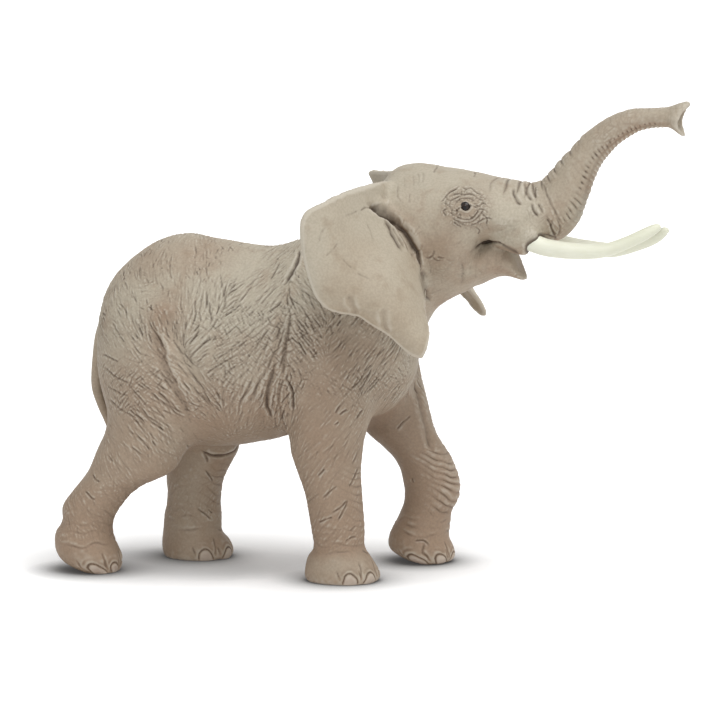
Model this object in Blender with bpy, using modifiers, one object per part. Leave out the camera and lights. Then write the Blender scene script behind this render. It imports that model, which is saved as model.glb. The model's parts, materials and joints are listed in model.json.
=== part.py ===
"""African elephant figure: a moulded toy animal, walking, with its trunk raised.

The figure faces +X and stands on z = 0, in metres. Its body is two hollow half shells,
joined along the middle of the back and belly. The head, lower jaw, ears, tusks, eyes,
tail and legs are separate mouldings that plug into sockets and are glued there.
Nothing moves. Names that end in right are on the -Y side.
"""

import math

import bmesh
import bpy
import numpy as np
from mathutils import Matrix, Vector

# Overall shape of the body
TORSO_LENGTH = 0.100
TORSO_WIDTH = 0.057
TORSO_DEPTH = 0.0663
BELLY_HEIGHT = 0.0383
SPINE_SHARPNESS = 1.12

# Head: how far its back lies inside the torso's front, and its throat below the back
HEAD_OVERLAP = 0.0089
HEAD_DROP = 0.0201
HEAD_LENGTH = 0.050
HEAD_HEIGHT = 0.045
HEAD_WIDTH = 0.0396

# Trunk, which starts where the head ends
TRUNK_HEIGHT = 0.040
TRUNK_REACH = 0.048
TRUNK_RISE = 0.028
TRUNK_WIDTH = 0.0192
NOSTRIL_WIDTH = 0.0058
NOSTRIL_HEIGHT = 0.0078
NOSTRIL_DEPTH = 0.005

# Lower jaw; its offset and height, like those of the ears, tusks and eyes, are measured
# from the crown's back and from the throat
JAW_OFFSET = 0.0215
JAW_ROOT_HEIGHT = 0.0040
JAW_LENGTH = 0.0245
JAW_HEIGHT = 0.0195
JAW_WIDTH = 0.025

# Ears
EAR_OFFSET = 0.0025
EAR_ROOT_Y = 0.020
EAR_ROOT_HEIGHT = 0.0335
EAR_REACH = 0.040
EAR_SPREAD = 0.030
EAR_HEIGHT = 0.050
EAR_THICKNESS = 0.0026
EAR_TONGUE = 0.0040
EAR_BULGE_FORWARD = 0.0021
EAR_BULGE_OUT = 0.0021

# Tusks
TUSK_OFFSET = 0.0481
TUSK_ROOT_Y = 0.010
TUSK_HEIGHT = 0.0233
TUSK_REACH = 0.043
TUSK_RADIUS = 0.0029
TUSK_ROOT = 0.0075
TUSK_ROOT_RISE = 0.0019
TUSK_LEFT_SAG = 0.0032

# Eyes
EYE_OFFSET = 0.0288
EYE_SPREAD = 0.0158
EYE_HEIGHT = 0.0347
EYE_RADIUS = 0.0021

# Tail, whose root lies below the back
TAIL_ROOT_DROP = 0.0146
TAIL_DROP = 0.0560
TAIL_STAND_OFF = 0.0060
TAIL_RADIUS = 0.0020

# Legs: how thick they are, and how far their tops stay below the back's skin
FORELEG_THICKNESS = 0.020
HINDLEG_THICKNESS = 0.020
SHOULDER_COVER = 0.0046
HIP_COVER = 0.0046
SHOULDER_SPREAD = 0.012
HIP_SPREAD = 0.012
LEG_SEAM_DROP = 0.0023
# Where the feet stand: front ones behind the torso's front, rear ones ahead of the rump
FRONT_RIGHT_FOOT_SETBACK = 0.0185
FRONT_RIGHT_FOOT_Y = 0.0195
FRONT_LEFT_FOOT_SETBACK = 0.0014
FRONT_LEFT_FOOT_Y = 0.0200
REAR_RIGHT_FOOT_X = 0.0046
REAR_RIGHT_FOOT_Y = 0.0180
REAR_LEFT_FOOT_X = 0.0281
REAR_LEFT_FOOT_Y = 0.0140

# How the mouldings fit together
GLUE_GAP = 0.0003
SHELL_WALL = 0.0060
LOCATING_PEG_RADIUS = 0.0016
LOCATING_PEG_LENGTH = 0.0030
LEG_PEG_RADIUS = 0.0042
LEG_PEG_LENGTH = 0.0065
NECK_SEAM_OFFSET = 0.0055
NECK_SEAM_HEIGHT = 0.0135
NECK_SEAM_TILT = math.radians(22)
NECK_SPIGOT_RADIUS = 0.0080
NECK_SPIGOT_LENGTH = 0.0090
OVERRUN = 0.0500

# Places that follow from the sizes above
BACK_HEIGHT = BELLY_HEIGHT + TORSO_DEPTH
LEG_SEAM_HEIGHT = BELLY_HEIGHT - LEG_SEAM_DROP
HEAD_X = TORSO_LENGTH - HEAD_OVERLAP
HEAD_Z = BACK_HEIGHT - HEAD_DROP

# Fineness of the moulded surface
BODY_RINGS = 58
BODY_SIDES = 24
HOLLOW_RINGS = 12
JAW_RINGS = 14
LEG_RINGS = 28
LEG_SIDES = 16
TUSK_RINGS = 18
TUSK_SIDES = 12
SHEATH_RINGS = 8
TAIL_RINGS = 20
TAIL_SIDES = 10
NOSTRIL_SIDES = 12
EAR_STEPS = 12
EAR_FINE_STEPS = 120
EYE_SEGMENTS = 14
EYE_RINGS = 8
PEG_SIDES = 20

# Each row is one slice: top x and height, bottom x and height, half width, widest place.
# Shares of the torso's length, of its depth from the belly up, and of half its width.
TORSO_SHARES = (
    (0.000, 0.569, 0.000, 0.296, 0.28, 0.0),
    (0.014, 0.689, 0.016, 0.176, 0.53, 0.0),
    (0.045, 0.774, 0.046, 0.109, 0.70, 0.0),
    (0.090, 0.847, 0.096, 0.057, 0.83, 0.0),
    (0.166, 0.940, 0.176, 0.019, 0.94, -0.1),
    (0.272, 1.000, 0.286, -0.000, 1.00, -0.2),
    (0.396, 0.976, 0.406, -0.000, 1.00, -0.2),
    (0.543, 0.954, 0.546, 0.041, 1.00, -0.2),
    (0.656, 1.006, 0.686, 0.101, 0.96, -0.2),
    (0.746, 1.058, 0.826, 0.131, 0.90, -0.2),
    (0.816, 1.134, 0.940, 0.206, 0.84, 0.0),
    (0.876, 1.224, 0.988, 0.358, 0.78, 0.1),
    (0.911, 1.300, 1.010, 0.538, 0.73, 0.2),
)
# Shares of the head's length, of its height and of half its width.
HEAD_SHARES = (
    (0.07, 0.967, 0.310, 0.000, 0.990, 0.2),
    (0.19, 1.004, 0.420, 0.085, 1.000, 0.15),
    (0.34, 0.993, 0.530, 0.140, 0.980, 0.1),
    (0.476, 0.978, 0.610, 0.260, 0.930, 0.1),
    (0.590, 0.951, 0.650, 0.464, 0.870, 0.1),
    (0.710, 0.924, 0.750, 0.522, 0.790, 0.0),
    (0.830, 0.904, 0.890, 0.447, 0.680, 0.0),
    (0.938, 0.889, 1.050, 0.478, 0.560, 0.0),
)
# Shares of the trunk's reach, of its rise and of half its width at the root.
TRUNK_SHARES = (
    (0.000, 0.046, 0.169, -0.554, 1.000, 0.0),
    (0.058, 0.161, 0.240, -0.357, 0.875, 0.0),
    (0.115, 0.279, 0.294, -0.114, 0.750, 0.0),
    (0.183, 0.418, 0.338, 0.111, 0.625, 0.0),
    (0.275, 0.604, 0.390, 0.296, 0.540, 0.0),
    (0.390, 0.746, 0.469, 0.446, 0.490, 0.0),
    (0.490, 0.836, 0.554, 0.557, 0.450, 0.0),
    (0.600, 0.896, 0.648, 0.639, 0.395, 0.0),
    (0.725, 0.918, 0.742, 0.682, 0.354, 0.0),
    (0.835, 0.925, 0.848, 0.689, 0.354, 0.0),
    (0.906, 0.975, 0.915, 0.611, 0.438, 0.0),
    (0.969, 1.004, 0.948, 0.582, 0.480, 0.0),
    (0.994, 0.968, 0.956, 0.596, 0.440, 0.0),
)
# Shares of the jaw's length, of its height and of half its width.
JAW_SHARES = (
    (0.00, 0.590, 0.00, 0.000, 0.80, 0.0),
    (0.204, 0.795, 0.204, 0.100, 0.98, 0.0),
    (0.408, 0.887, 0.430, 0.210, 1.00, 0.0),
    (0.592, 0.990, 0.610, 0.313, 0.92, 0.0),
    (0.775, 0.887, 0.755, 0.338, 0.78, 0.0),
    (0.900, 0.733, 0.900, 0.323, 0.62, 0.0),
    (0.980, 0.503, 0.980, 0.313, 0.36, 0.0),
)
# Each row is one slice of a leg: height, forward shift, half length, half width, spread.
# Shares of the leg's length, of the leg's thickness, and of the way in to the shoulder.
FRONT_RIGHT_SHARES = (
    (0.000, 0.000, 0.565, 0.500, 0.00),
    (0.020, 0.000, 0.590, 0.525, 0.00),
    (0.070, -0.009, 0.490, 0.480, 0.00),
    (0.105, -0.009, 0.390, 0.415, 0.00),
    (0.165, -0.012, 0.415, 0.400, 0.00),
    (0.235, -0.021, 0.430, 0.410, 0.02),
    (0.295, -0.031, 0.455, 0.430, 0.06),
    (0.360, -0.045, 0.520, 0.475, 0.13),
    (0.440, -0.052, 0.590, 0.550, 0.25),
    (0.520, -0.049, 0.675, 0.620, 0.40),
    (0.650, -0.044, 0.700, 0.670, 0.53),
    (0.800, -0.044, 0.600, 0.600, 0.67),
    (0.950, -0.030, 0.300, 0.300, 1.00),
)
FRONT_LEFT_SHARES = (
    (0.000, 0.025, 0.250, 0.350, 0.00),
    (0.013, 0.017, 0.400, 0.450, 0.00),
    (0.040, 0.000, 0.500, 0.500, 0.00),
    (0.075, -0.010, 0.475, 0.480, 0.00),
    (0.116, -0.003, 0.435, 0.430, 0.00),
    (0.160, 0.011, 0.395, 0.400, 0.00),
    (0.200, 0.029, 0.420, 0.410, 0.00),
    (0.250, 0.030, 0.440, 0.430, 0.03),
    (0.310, 0.014, 0.445, 0.450, 0.07),
    (0.360, -0.020, 0.480, 0.480, 0.13),
    (0.410, -0.065, 0.540, 0.525, 0.22),
    (0.500, -0.120, 0.650, 0.600, 0.40),
    (0.650, -0.180, 0.700, 0.670, 0.53),
    (0.800, -0.200, 0.600, 0.600, 0.67),
    (0.950, -0.200, 0.300, 0.300, 1.00),
)
REAR_RIGHT_SHARES = (
    (0.000, 0.000, 0.275, 0.350, 0.00),
    (0.024, -0.028, 0.440, 0.465, 0.00),
    (0.050, -0.042, 0.510, 0.500, 0.00),
    (0.070, -0.050, 0.510, 0.500, 0.00),
    (0.115, -0.058, 0.470, 0.460, 0.00),
    (0.155, -0.047, 0.395, 0.410, 0.00),
    (0.205, -0.032, 0.445, 0.420, 0.00),
    (0.270, 0.018, 0.500, 0.450, 0.05),
    (0.320, 0.085, 0.650, 0.525, 0.08),
    (0.380, 0.120, 0.710, 0.600, 0.15),
    (0.460, 0.155, 0.735, 0.650, 0.25),
    (0.580, 0.170, 0.790, 0.690, 0.42),
    (0.720, 0.180, 0.700, 0.625, 0.58),
    (0.880, 0.200, 0.350, 0.300, 1.00),
)
REAR_LEFT_SHARES = (
    (0.000, 0.000, 0.525, 0.490, 0.0),
    (0.020, -0.001, 0.555, 0.510, 0.0),
    (0.050, -0.008, 0.525, 0.490, 0.0),
    (0.080, -0.018, 0.460, 0.450, 0.0),
    (0.130, -0.015, 0.450, 0.420, -0.1),
    (0.180, -0.014, 0.420, 0.410, -0.3),
    (0.240, -0.013, 0.450, 0.420, -0.5),
    (0.300, 0.000, 0.525, 0.460, -0.8),
    (0.360, 0.005, 0.625, 0.540, -1.0),
    (0.460, -0.005, 0.725, 0.625, -1.0),
    (0.580, -0.015, 0.775, 0.675, -0.8),
    (0.720, -0.035, 0.700, 0.625, -0.3),
    (0.880, -0.035, 0.350, 0.300, 1.0),
)
# The ear's four edges: forward, sideways and up, as shares of its reach, spread and height.
EAR_ROOT_SHARES = (
    (0.012, -0.367, 0.160),
    (-0.012, -0.167, 0.020),
    (0.125, -0.023, -0.180),
    (0.262, -0.060, -0.354),
    (0.308, -0.250, -0.540),
)
EAR_REAR_SHARES = (
    (-0.475, 1.00, 0.00),
    (-0.478, 1.00, -0.122),
    (-0.445, 1.00, -0.274),
    (-0.373, 1.00, -0.442),
    (-0.270, 0.967, -0.536),
    (-0.148, 0.933, -0.570),
    (-0.032, 0.900, -0.596),
    (0.163, 0.850, -0.700),
    (0.362, 0.800, -0.828),
    (0.455, 0.767, -0.860),
)
EAR_TOP_RIGHT_SHARES = (
    (0.012, -0.367, 0.160),
    (-0.215, 0.500, 0.166),
    (-0.328, 0.800, 0.134),
    (-0.438, 0.933, 0.076),
    (-0.475, 1.000, 0.000),
)
EAR_TOP_LEFT_SHARES = (
    (0.012, -0.367, 0.160),
    (-0.215, 0.500, 0.060),
    (-0.328, 0.800, 0.030),
    (-0.438, 0.950, 0.015),
    (-0.475, 1.000, 0.000),
)
EAR_FRONT_SHARES = (
    (0.308, -0.250, -0.540),
    (0.408, 0.333, -0.602),
    (0.485, 0.600, -0.708),
    (0.495, 0.733, -0.780),
    (0.455, 0.767, -0.860),
)
# The tusk's line: forward, sideways and up as shares of its reach, then its radius.
TUSK_SHARES = (
    (0.000, 0.000, 0.000, 1.00),
    (0.114, 0.007, -0.035, 0.98),
    (0.228, 0.019, -0.047, 0.92),
    (0.309, 0.023, -0.051, 0.90),
    (0.474, 0.023, -0.051, 0.78),
    (0.579, 0.012, -0.035, 0.71),
    (0.714, -0.016, 0.016, 0.66),
    (0.809, -0.042, 0.060, 0.66),
    (0.877, -0.070, 0.098, 0.60),
    (0.923, -0.093, 0.121, 0.45),
    (0.951, -0.100, 0.127, 0.22),
)
# The lip round the tusk's root: forward, sideways and up as shares, then its radius.
SHEATH_SHARES = (
    (-0.360, -0.150, 0.130, 0.80),
    (-0.210, -0.070, 0.075, 1.60),
    (-0.060, -0.015, 0.015, 1.75),
    (0.020, 0.000, -0.005, 1.45),
)
# The tail's line: back, sideways and down as shares, then its radius.
TAIL_SHARES = (
    (-1.45, 0.00, 0.09, 1.10),
    (-0.60, 0.00, 0.20, 1.15),
    (-0.10, 0.00, 0.32, 1.10),
    (0.12, 0.00, 0.46, 1.00),
    (0.22, 0.05, 0.61, 0.90),
    (0.00, 0.15, 0.71, 0.85),
    (-0.43, 0.30, 0.82, 0.90),
    (-0.93, 0.40, 0.93, 1.15),
    (-1.18, 0.45, 1.00, 0.50),
)
# Where the locating pegs stand along the torso, on the back and on the belly.
BACK_PEG_SHARES = (0.20, 0.60)
BELLY_PEG_SHARES = (0.35, 0.60)
# First and last slices of the torso table that the hollow inside runs between.
HOLLOW_SHARES = (0.22, 0.76)

# How far in from the crown's back and up from the throat the middle of the head lies.
HEAD_MIDDLE_SHARES = (0.33, 0.50)
# The nostril's rows: place along its depth, then its radius as a share of its width.
NOSTRIL_SHARES = ((-1.00, 0.25), (0.00, 0.50), (1.00, 1.00))

# Colours and roughness of the painted plastic
TORSO_COLOUR = (0.49, 0.45, 0.35)
HEAD_COLOUR = (0.49, 0.44, 0.36)
EAR_COLOUR = (0.44, 0.39, 0.31)
LEG_COLOUR = (0.33, 0.25, 0.19)
IVORY_COLOUR = (0.87, 0.86, 0.72)
EYE_COLOUR = (0.02, 0.015, 0.012)
BODY_ROUGHNESS = 0.62
EAR_ROUGHNESS = 0.60
LEG_ROUGHNESS = 0.65
IVORY_ROUGHNESS = 0.42
EYE_ROUGHNESS = 0.12

# The two sides of the figure, and the way that each lies from its middle
SIDES = (("right", -1), ("left", 1))
# Each leg: its table, where its foot stands, its sizes and its side
LEGS = {
    "front_leg_right": (
        FRONT_RIGHT_SHARES,
        (TORSO_LENGTH - FRONT_RIGHT_FOOT_SETBACK, FRONT_RIGHT_FOOT_Y),
        BACK_HEIGHT - SHOULDER_COVER,
        FORELEG_THICKNESS,
        SHOULDER_SPREAD,
        -1,
    ),
    "front_leg_left": (
        FRONT_LEFT_SHARES,
        (TORSO_LENGTH - FRONT_LEFT_FOOT_SETBACK, FRONT_LEFT_FOOT_Y),
        BACK_HEIGHT - SHOULDER_COVER,
        FORELEG_THICKNESS,
        SHOULDER_SPREAD,
        1,
    ),
    "rear_leg_right": (
        REAR_RIGHT_SHARES,
        (REAR_RIGHT_FOOT_X, REAR_RIGHT_FOOT_Y),
        BACK_HEIGHT - HIP_COVER,
        HINDLEG_THICKNESS,
        HIP_SPREAD,
        -1,
    ),
    "rear_leg_left": (
        REAR_LEFT_SHARES,
        (REAR_LEFT_FOOT_X, REAR_LEFT_FOOT_Y),
        BACK_HEIGHT - HIP_COVER,
        HINDLEG_THICKNESS,
        HIP_SPREAD,
        1,
    ),
}

PARTS = bpy.data.collections.new("toy_elephant_figure")
GUIDES = bpy.data.collections.new("cutters")


def clear_scene():
    for old in list(bpy.data.objects):
        bpy.data.objects.remove(old, do_unlink=True)
    for collection in (PARTS, GUIDES):
        bpy.context.scene.collection.children.link(collection)


def paint(name, colour, roughness):
    """One painted finish: a Principled BSDF with its colour and roughness."""
    finish = bpy.data.materials.new(name)
    finish.use_nodes = True
    shader = finish.node_tree.nodes["Principled BSDF"]
    shader.inputs["Base Color"].default_value = (*colour, 1)
    shader.inputs["Roughness"].default_value = roughness
    shader.inputs["Metallic"].default_value = 0
    return finish


def spline(rows, count):
    """Rows read off a Catmull-Rom curve through the given rows, evenly along their index."""
    rows = np.asarray(rows, dtype=float)
    place = np.linspace(0, len(rows) - 1, count)
    start = np.minimum(place.astype(int), len(rows) - 2)
    t = (place - start)[:, None]
    p0 = rows[np.maximum(start - 1, 0)]
    p1 = rows[start]
    p2 = rows[start + 1]
    p3 = rows[np.minimum(start + 2, len(rows) - 1)]
    slope_in = (p2 - p0) / 2
    slope_out = (p3 - p1) / 2
    return (
        p1 * (2 * t**3 - 3 * t**2 + 1)
        + slope_in * (t**3 - 2 * t**2 + t)
        + p2 * (3 * t**2 - 2 * t**3)
        + slope_out * (t**3 - t**2)
    )


def loft_mesh(name, rings):
    """A closed skin over rings of points, with a middle point to close each end."""
    rings = np.asarray(rings)
    count, sides, _ = rings.shape
    points = [*rings.reshape(-1, 3), rings[0].mean(axis=0), rings[-1].mean(axis=0)]
    faces = []
    for row in range(count - 1):
        for side in range(sides):
            following = (side + 1) % sides
            here = row * sides
            there = here + sides
            faces.append((here + side, here + following, there + following, there + side))
    last = (count - 1) * sides
    for side in range(sides):
        following = (side + 1) % sides
        faces.append((count * sides, following, side))
        faces.append((count * sides + 1, last + side, last + following))
    mesh = bpy.data.meshes.new(name)
    mesh.from_pydata([tuple(point) for point in points], [], faces)
    shell = bmesh.new()
    shell.from_mesh(mesh)
    bmesh.ops.recalc_face_normals(shell, faces=shell.faces)
    shell.to_mesh(mesh)
    shell.free()
    return mesh


def add_object(name, mesh, collection, finish=None):
    thing = bpy.data.objects.new(name, mesh)
    collection.objects.link(thing)
    if finish:
        mesh.materials.append(finish)
    else:
        thing.hide_render = True
        thing.display_type = "WIRE"
    return thing


def guide(name, mesh):
    return add_object(name, mesh, GUIDES)


def boolean(thing, other, operation):
    step = thing.modifiers.new(f"{operation.lower()}_{other.name}", "BOOLEAN")
    step.object = other
    step.operation = operation
    step.solver = "EXACT"


def slices_in_metres(shares, origin, size):
    """Turns rows of shares into rows of real top x, top z, bottom x, bottom z, half width."""
    rows = []
    for top_x, top_z, bottom_x, bottom_z, half_width, widest in shares:
        rows.append(
            (
                origin[0] + top_x * size[0],
                origin[1] + top_z * size[2],
                origin[0] + bottom_x * size[0],
                origin[1] + bottom_z * size[2],
                half_width * size[1] / 2,
                widest,
            )
        )
    return rows


def slice_rings(rows, sides, grow=0):
    """One ring for each row: an egg shape between its top and bottom points.

    The height of the widest place is a share of the half height, so a ring goes round by
    angle with its upper and lower quarters stretched to meet there.
    """
    angle = np.linspace(0, 2 * math.pi, sides, endpoint=False)
    rings = []
    for top_x, top_z, bottom_x, bottom_z, half_width, widest in rows:
        top = np.array((top_x, 0, top_z))
        bottom = np.array((bottom_x, 0, bottom_z))
        middle = (top + bottom) / 2
        upward = (top - bottom) / 2
        upward = upward * (1 + grow / np.linalg.norm(upward))
        lift = np.cos(angle)
        lift = np.where(lift > 0, widest + (1 - widest) * lift, widest + (1 + widest) * lift)
        out = np.sin(angle)
        out = np.sign(out) * np.abs(out) ** SPINE_SHARPNESS * (half_width + grow)
        ring = middle + lift[:, None] * upward + out[:, None] * np.array((0, 1, 0))
        rings.append(ring)
    return rings


def torso_rows():
    size = (TORSO_LENGTH, TORSO_WIDTH, TORSO_DEPTH)
    return slices_in_metres(TORSO_SHARES, (0, BELLY_HEIGHT), size)


def head_rows():
    size = (HEAD_LENGTH, HEAD_WIDTH, HEAD_HEIGHT)
    return slices_in_metres(HEAD_SHARES, (HEAD_X, HEAD_Z), size)


def trunk_rows():
    size = (TRUNK_REACH, TRUNK_WIDTH, TRUNK_RISE)
    origin = (HEAD_X + HEAD_LENGTH, HEAD_Z + TRUNK_HEIGHT)
    return slices_in_metres(TRUNK_SHARES, origin, size)


def body_mesh(name):
    """The whole skin from the rump to the trunk's tip, as one loft."""
    rows = spline(torso_rows() + head_rows() + trunk_rows(), BODY_RINGS)
    return loft_mesh(name, slice_rings(rows, BODY_SIDES))


def tube_rings(line, sides, grow=0, flatten=1):
    """Rings square to a line of points, each row holding x, y, z and a radius."""
    line = np.asarray(line)
    points = line[:, :3]
    ways = np.gradient(points, axis=0)
    ways /= np.linalg.norm(ways, axis=1)[:, None]
    across = np.cross(ways, (0, 1, 0))
    across /= np.linalg.norm(across, axis=1)[:, None]
    sideways = np.cross(across, ways)
    angle = np.linspace(0, 2 * math.pi, sides, endpoint=False)[None, :, None]
    radius = line[:, 3][:, None, None] + grow
    outward = np.cos(angle) * across[:, None, :] * flatten + np.sin(angle) * sideways[:, None, :]
    return points[:, None, :] + radius * outward


def leg_rows(shares, foot, length, thickness, spread, side):
    """Rows of one leg: height, middle x, middle y, half length and half width."""
    rows = []
    for height, forward, half_length, half_width, way_in in shares:
        middle_y = foot[1] + (spread - foot[1]) * way_in
        rows.append(
            (
                height * length,
                foot[0] + forward * length,
                side * middle_y,
                half_length * thickness,
                half_width * thickness,
            )
        )
    return rows


def leg_mesh(name, rows):
    """Level slices of a leg, from the flat sole up into the body."""
    angle = np.linspace(0, 2 * math.pi, LEG_SIDES, endpoint=False)
    stack = []
    for height, middle_x, middle_y, half_length, half_width in spline(rows, LEG_RINGS):
        ring = np.column_stack(
            (
                middle_x + half_length * np.cos(angle),
                middle_y + half_width * np.sin(angle),
                np.full(LEG_SIDES, height),
            )
        )
        stack.append(ring)
    return loft_mesh(name, stack)


def box_guide(name, low, high, turn=Matrix.Identity(4)):
    mesh = bpy.data.meshes.new(name)
    block = bmesh.new()
    bmesh.ops.create_cube(block, size=1)
    span = Vector(high) - Vector(low)
    middle = (Vector(high) + Vector(low)) / 2
    place = turn @ Matrix.Translation(middle) @ Matrix.Diagonal((*span, 1))
    bmesh.ops.transform(block, matrix=place, verts=block.verts)
    block.to_mesh(mesh)
    block.free()
    return guide(name, mesh)


def peg_guide(name, radius, start, way, length):
    """A round peg that begins at start and runs along way."""
    mesh = bpy.data.meshes.new(name)
    peg = bmesh.new()
    bmesh.ops.create_cone(
        peg,
        cap_ends=True,
        segments=PEG_SIDES,
        radius1=radius,
        radius2=radius,
        depth=length,
    )
    way = Vector(way).normalized()
    turn = Vector((0, 0, 1)).rotation_difference(way).to_matrix().to_4x4()
    place = Matrix.Translation(Vector(start) + way * length / 2) @ turn
    bmesh.ops.transform(peg, matrix=place, verts=peg.verts)
    peg.to_mesh(mesh)
    peg.free()
    return guide(name, mesh)


def neck_frame():
    """Turns +X into the way that the neck points, at the middle of the neck seam."""
    place = Matrix.Translation((HEAD_X + NECK_SEAM_OFFSET, 0, HEAD_Z + NECK_SEAM_HEIGHT))
    return place @ Matrix.Rotation(-NECK_SEAM_TILT, 4, "Y")


def neck_block(name, front):
    """A block that takes away all that lies ahead of the neck seam, or all behind it."""
    half = GLUE_GAP / 2
    far = TORSO_LENGTH + TRUNK_REACH + HEAD_LENGTH + OVERRUN
    tall = BACK_HEIGHT + OVERRUN
    if front:
        return box_guide(name, (-half, -tall, -tall), (far, tall, tall), neck_frame())
    return box_guide(name, (-far, -tall, -tall), (half, tall, tall), neck_frame())


def neck_peg(name, grow):
    frame = neck_frame()
    way = frame.to_3x3() @ Vector((-1, 0, 0))
    start = frame @ Vector((NECK_SPIGOT_LENGTH, 0, 0))
    length = 2 * NECK_SPIGOT_LENGTH + grow
    return peg_guide(name, NECK_SPIGOT_RADIUS + grow, start, way, length)


def leg_seam_middle(leg):
    """The middle of a leg where it meets the body, read off its rows."""
    rows = np.array(leg_rows(*LEGS[leg]))
    middle_x = np.interp(LEG_SEAM_HEIGHT, rows[:, 0], rows[:, 1])
    middle_y = np.interp(LEG_SEAM_HEIGHT, rows[:, 0], rows[:, 2])
    return middle_x, middle_y


def leg_peg(name, leg, grow):
    """The glued peg on top of a leg, from below the seam up into the body."""
    x, y = leg_seam_middle(leg)
    start = (x, y, LEG_SEAM_HEIGHT - LEG_PEG_LENGTH)
    length = 2 * LEG_PEG_LENGTH + grow
    return peg_guide(name, LEG_PEG_RADIUS + grow, start, (0, 0, 1), length)


def build_leg(leg, finish):
    rows = leg_rows(*LEGS[leg])
    thing = add_object(leg, leg_mesh(leg, rows), PARTS, finish)
    far = TORSO_LENGTH + OVERRUN
    low = (-far, -far, -OVERRUN)
    below = box_guide(f"{leg}_below", low, (far, far, LEG_SEAM_HEIGHT - GLUE_GAP / 2))
    boolean(thing, below, "INTERSECT")
    boolean(thing, leg_peg(f"{leg}_peg", leg, 0), "UNION")
    thing.data.shade_smooth()
    return thing


def hollow_guide():
    """The space inside the body: the torso's own slices, drawn in by the shell's wall."""
    rows = np.array(torso_rows())
    places = np.linspace(0, 1, len(rows))
    along = np.linspace(HOLLOW_SHARES[0], HOLLOW_SHARES[1], HOLLOW_RINGS)
    inside = np.column_stack([np.interp(along, places, rows[:, k]) for k in range(rows.shape[1])])
    return guide("hollow", loft_mesh("hollow", slice_rings(inside, LEG_SIDES, -SHELL_WALL)))


def seam_pegs(shell, side, grow, operation):
    """Locating pegs across the middle seam, in the wall at the back and at the belly."""
    rows = np.array(torso_rows())
    places = [(share, 0, -1) for share in BACK_PEG_SHARES]
    places += [(share, 2, 1) for share in BELLY_PEG_SHARES]
    for number, (share, column, inward) in enumerate(places):
        x = share * TORSO_LENGTH
        edge = np.interp(x, rows[:, column], rows[:, column + 1])
        z = edge + inward * SHELL_WALL / 2
        start = (x, -LOCATING_PEG_LENGTH, z)
        length = 2 * LOCATING_PEG_LENGTH + grow
        name = f"{side}_seam_peg_{number}"
        peg = peg_guide(name, LOCATING_PEG_RADIUS + grow, start, (0, 1, 0), length)
        boolean(shell, peg, operation)


def build_shell(side, sign, hollow, finish):
    """One half of the body: the skin and two upper legs, cut at the seams and hollowed."""
    name = f"torso_{side}_shell"
    shell = add_object(name, body_mesh(name), PARTS, finish)
    for leg in (f"front_leg_{side}", f"rear_leg_{side}"):
        upper = guide(f"{leg}_form", leg_mesh(f"{leg}_form", leg_rows(*LEGS[leg])))
        boolean(shell, upper, "UNION")
    far = TORSO_LENGTH + OVERRUN
    half = GLUE_GAP / 2
    tall = BACK_HEIGHT + OVERRUN
    inner, outer = sorted((sign * half, sign * far))
    half_space = box_guide(
        f"{side}_half",
        (-far, inner, LEG_SEAM_HEIGHT + half),
        (far + TRUNK_REACH, outer, tall),
    )
    boolean(shell, half_space, "INTERSECT")
    boolean(shell, neck_block(f"{side}_neck_cut", True), "DIFFERENCE")
    boolean(shell, hollow, "DIFFERENCE")
    boolean(shell, neck_peg(f"{side}_neck_socket", GLUE_GAP), "DIFFERENCE")
    boolean(shell, tail_guide(f"{side}_tail_socket"), "DIFFERENCE")
    for leg in (f"front_leg_{side}", f"rear_leg_{side}"):
        boolean(shell, leg_peg(f"{leg}_socket", leg, GLUE_GAP), "DIFFERENCE")
    if side == "right":
        seam_pegs(shell, side, 0, "UNION")
    else:
        seam_pegs(shell, side, GLUE_GAP, "DIFFERENCE")
    shell.data.shade_smooth()
    return shell


def tail_line():
    rows = []
    for back, sideways, down, radius in TAIL_SHARES:
        rows.append(
            (
                -back * TAIL_STAND_OFF,
                sideways * TAIL_STAND_OFF,
                BACK_HEIGHT - TAIL_ROOT_DROP - down * TAIL_DROP,
                radius * TAIL_RADIUS,
            )
        )
    return rows


def lengthened(line, extra):
    """The same line with its first point moved back along the line by extra."""
    line = np.array(line)
    way = line[1, :3] - line[0, :3]
    line[0, :3] -= way * extra / np.linalg.norm(way)
    return line


def tail_guide(name):
    line = lengthened(spline(tail_line(), TAIL_RINGS), 2 * GLUE_GAP)
    return guide(name, loft_mesh(name, tube_rings(line, TAIL_SIDES, GLUE_GAP)))


def build_tail(finish):
    line = spline(tail_line(), TAIL_RINGS)
    tail = add_object("tail", loft_mesh("tail", tube_rings(line, TAIL_SIDES)), PARTS, finish)
    tail.data.shade_smooth()
    return tail


def tusk_point(sign, forward, sideways, up, radius):
    """A place on a tusk's line; the left tusk sags a little, most at its tip."""
    sag = max(sign, 0) * TUSK_LEFT_SAG * (1 + forward) / 2
    return (
        HEAD_X + TUSK_OFFSET + forward * TUSK_REACH,
        sign * (TUSK_ROOT_Y + sideways * TUSK_REACH),
        HEAD_Z + TUSK_HEIGHT + up * TUSK_REACH - sag,
        radius * TUSK_RADIUS,
    )


def tusk_line(sign):
    """The tusk's middle line from its hidden root to its tip."""
    rows = [tusk_point(sign, *row) for row in TUSK_SHARES]
    x, y, z, radius = rows[0]
    return [(x - TUSK_ROOT, y, z + TUSK_ROOT_RISE, radius), *rows]


def tusk_guide(name, sign, grow):
    line = lengthened(spline(tusk_line(sign), TUSK_RINGS), 2 * grow)
    return guide(name, loft_mesh(name, tube_rings(line, TUSK_SIDES, grow)))


def build_tusk(side, sign, finish):
    name = f"tusk_{side}"
    line = spline(tusk_line(sign), TUSK_RINGS)
    tusk = add_object(name, loft_mesh(name, tube_rings(line, TUSK_SIDES)), PARTS, finish)
    tusk.data.shade_smooth()
    return tusk


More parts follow.
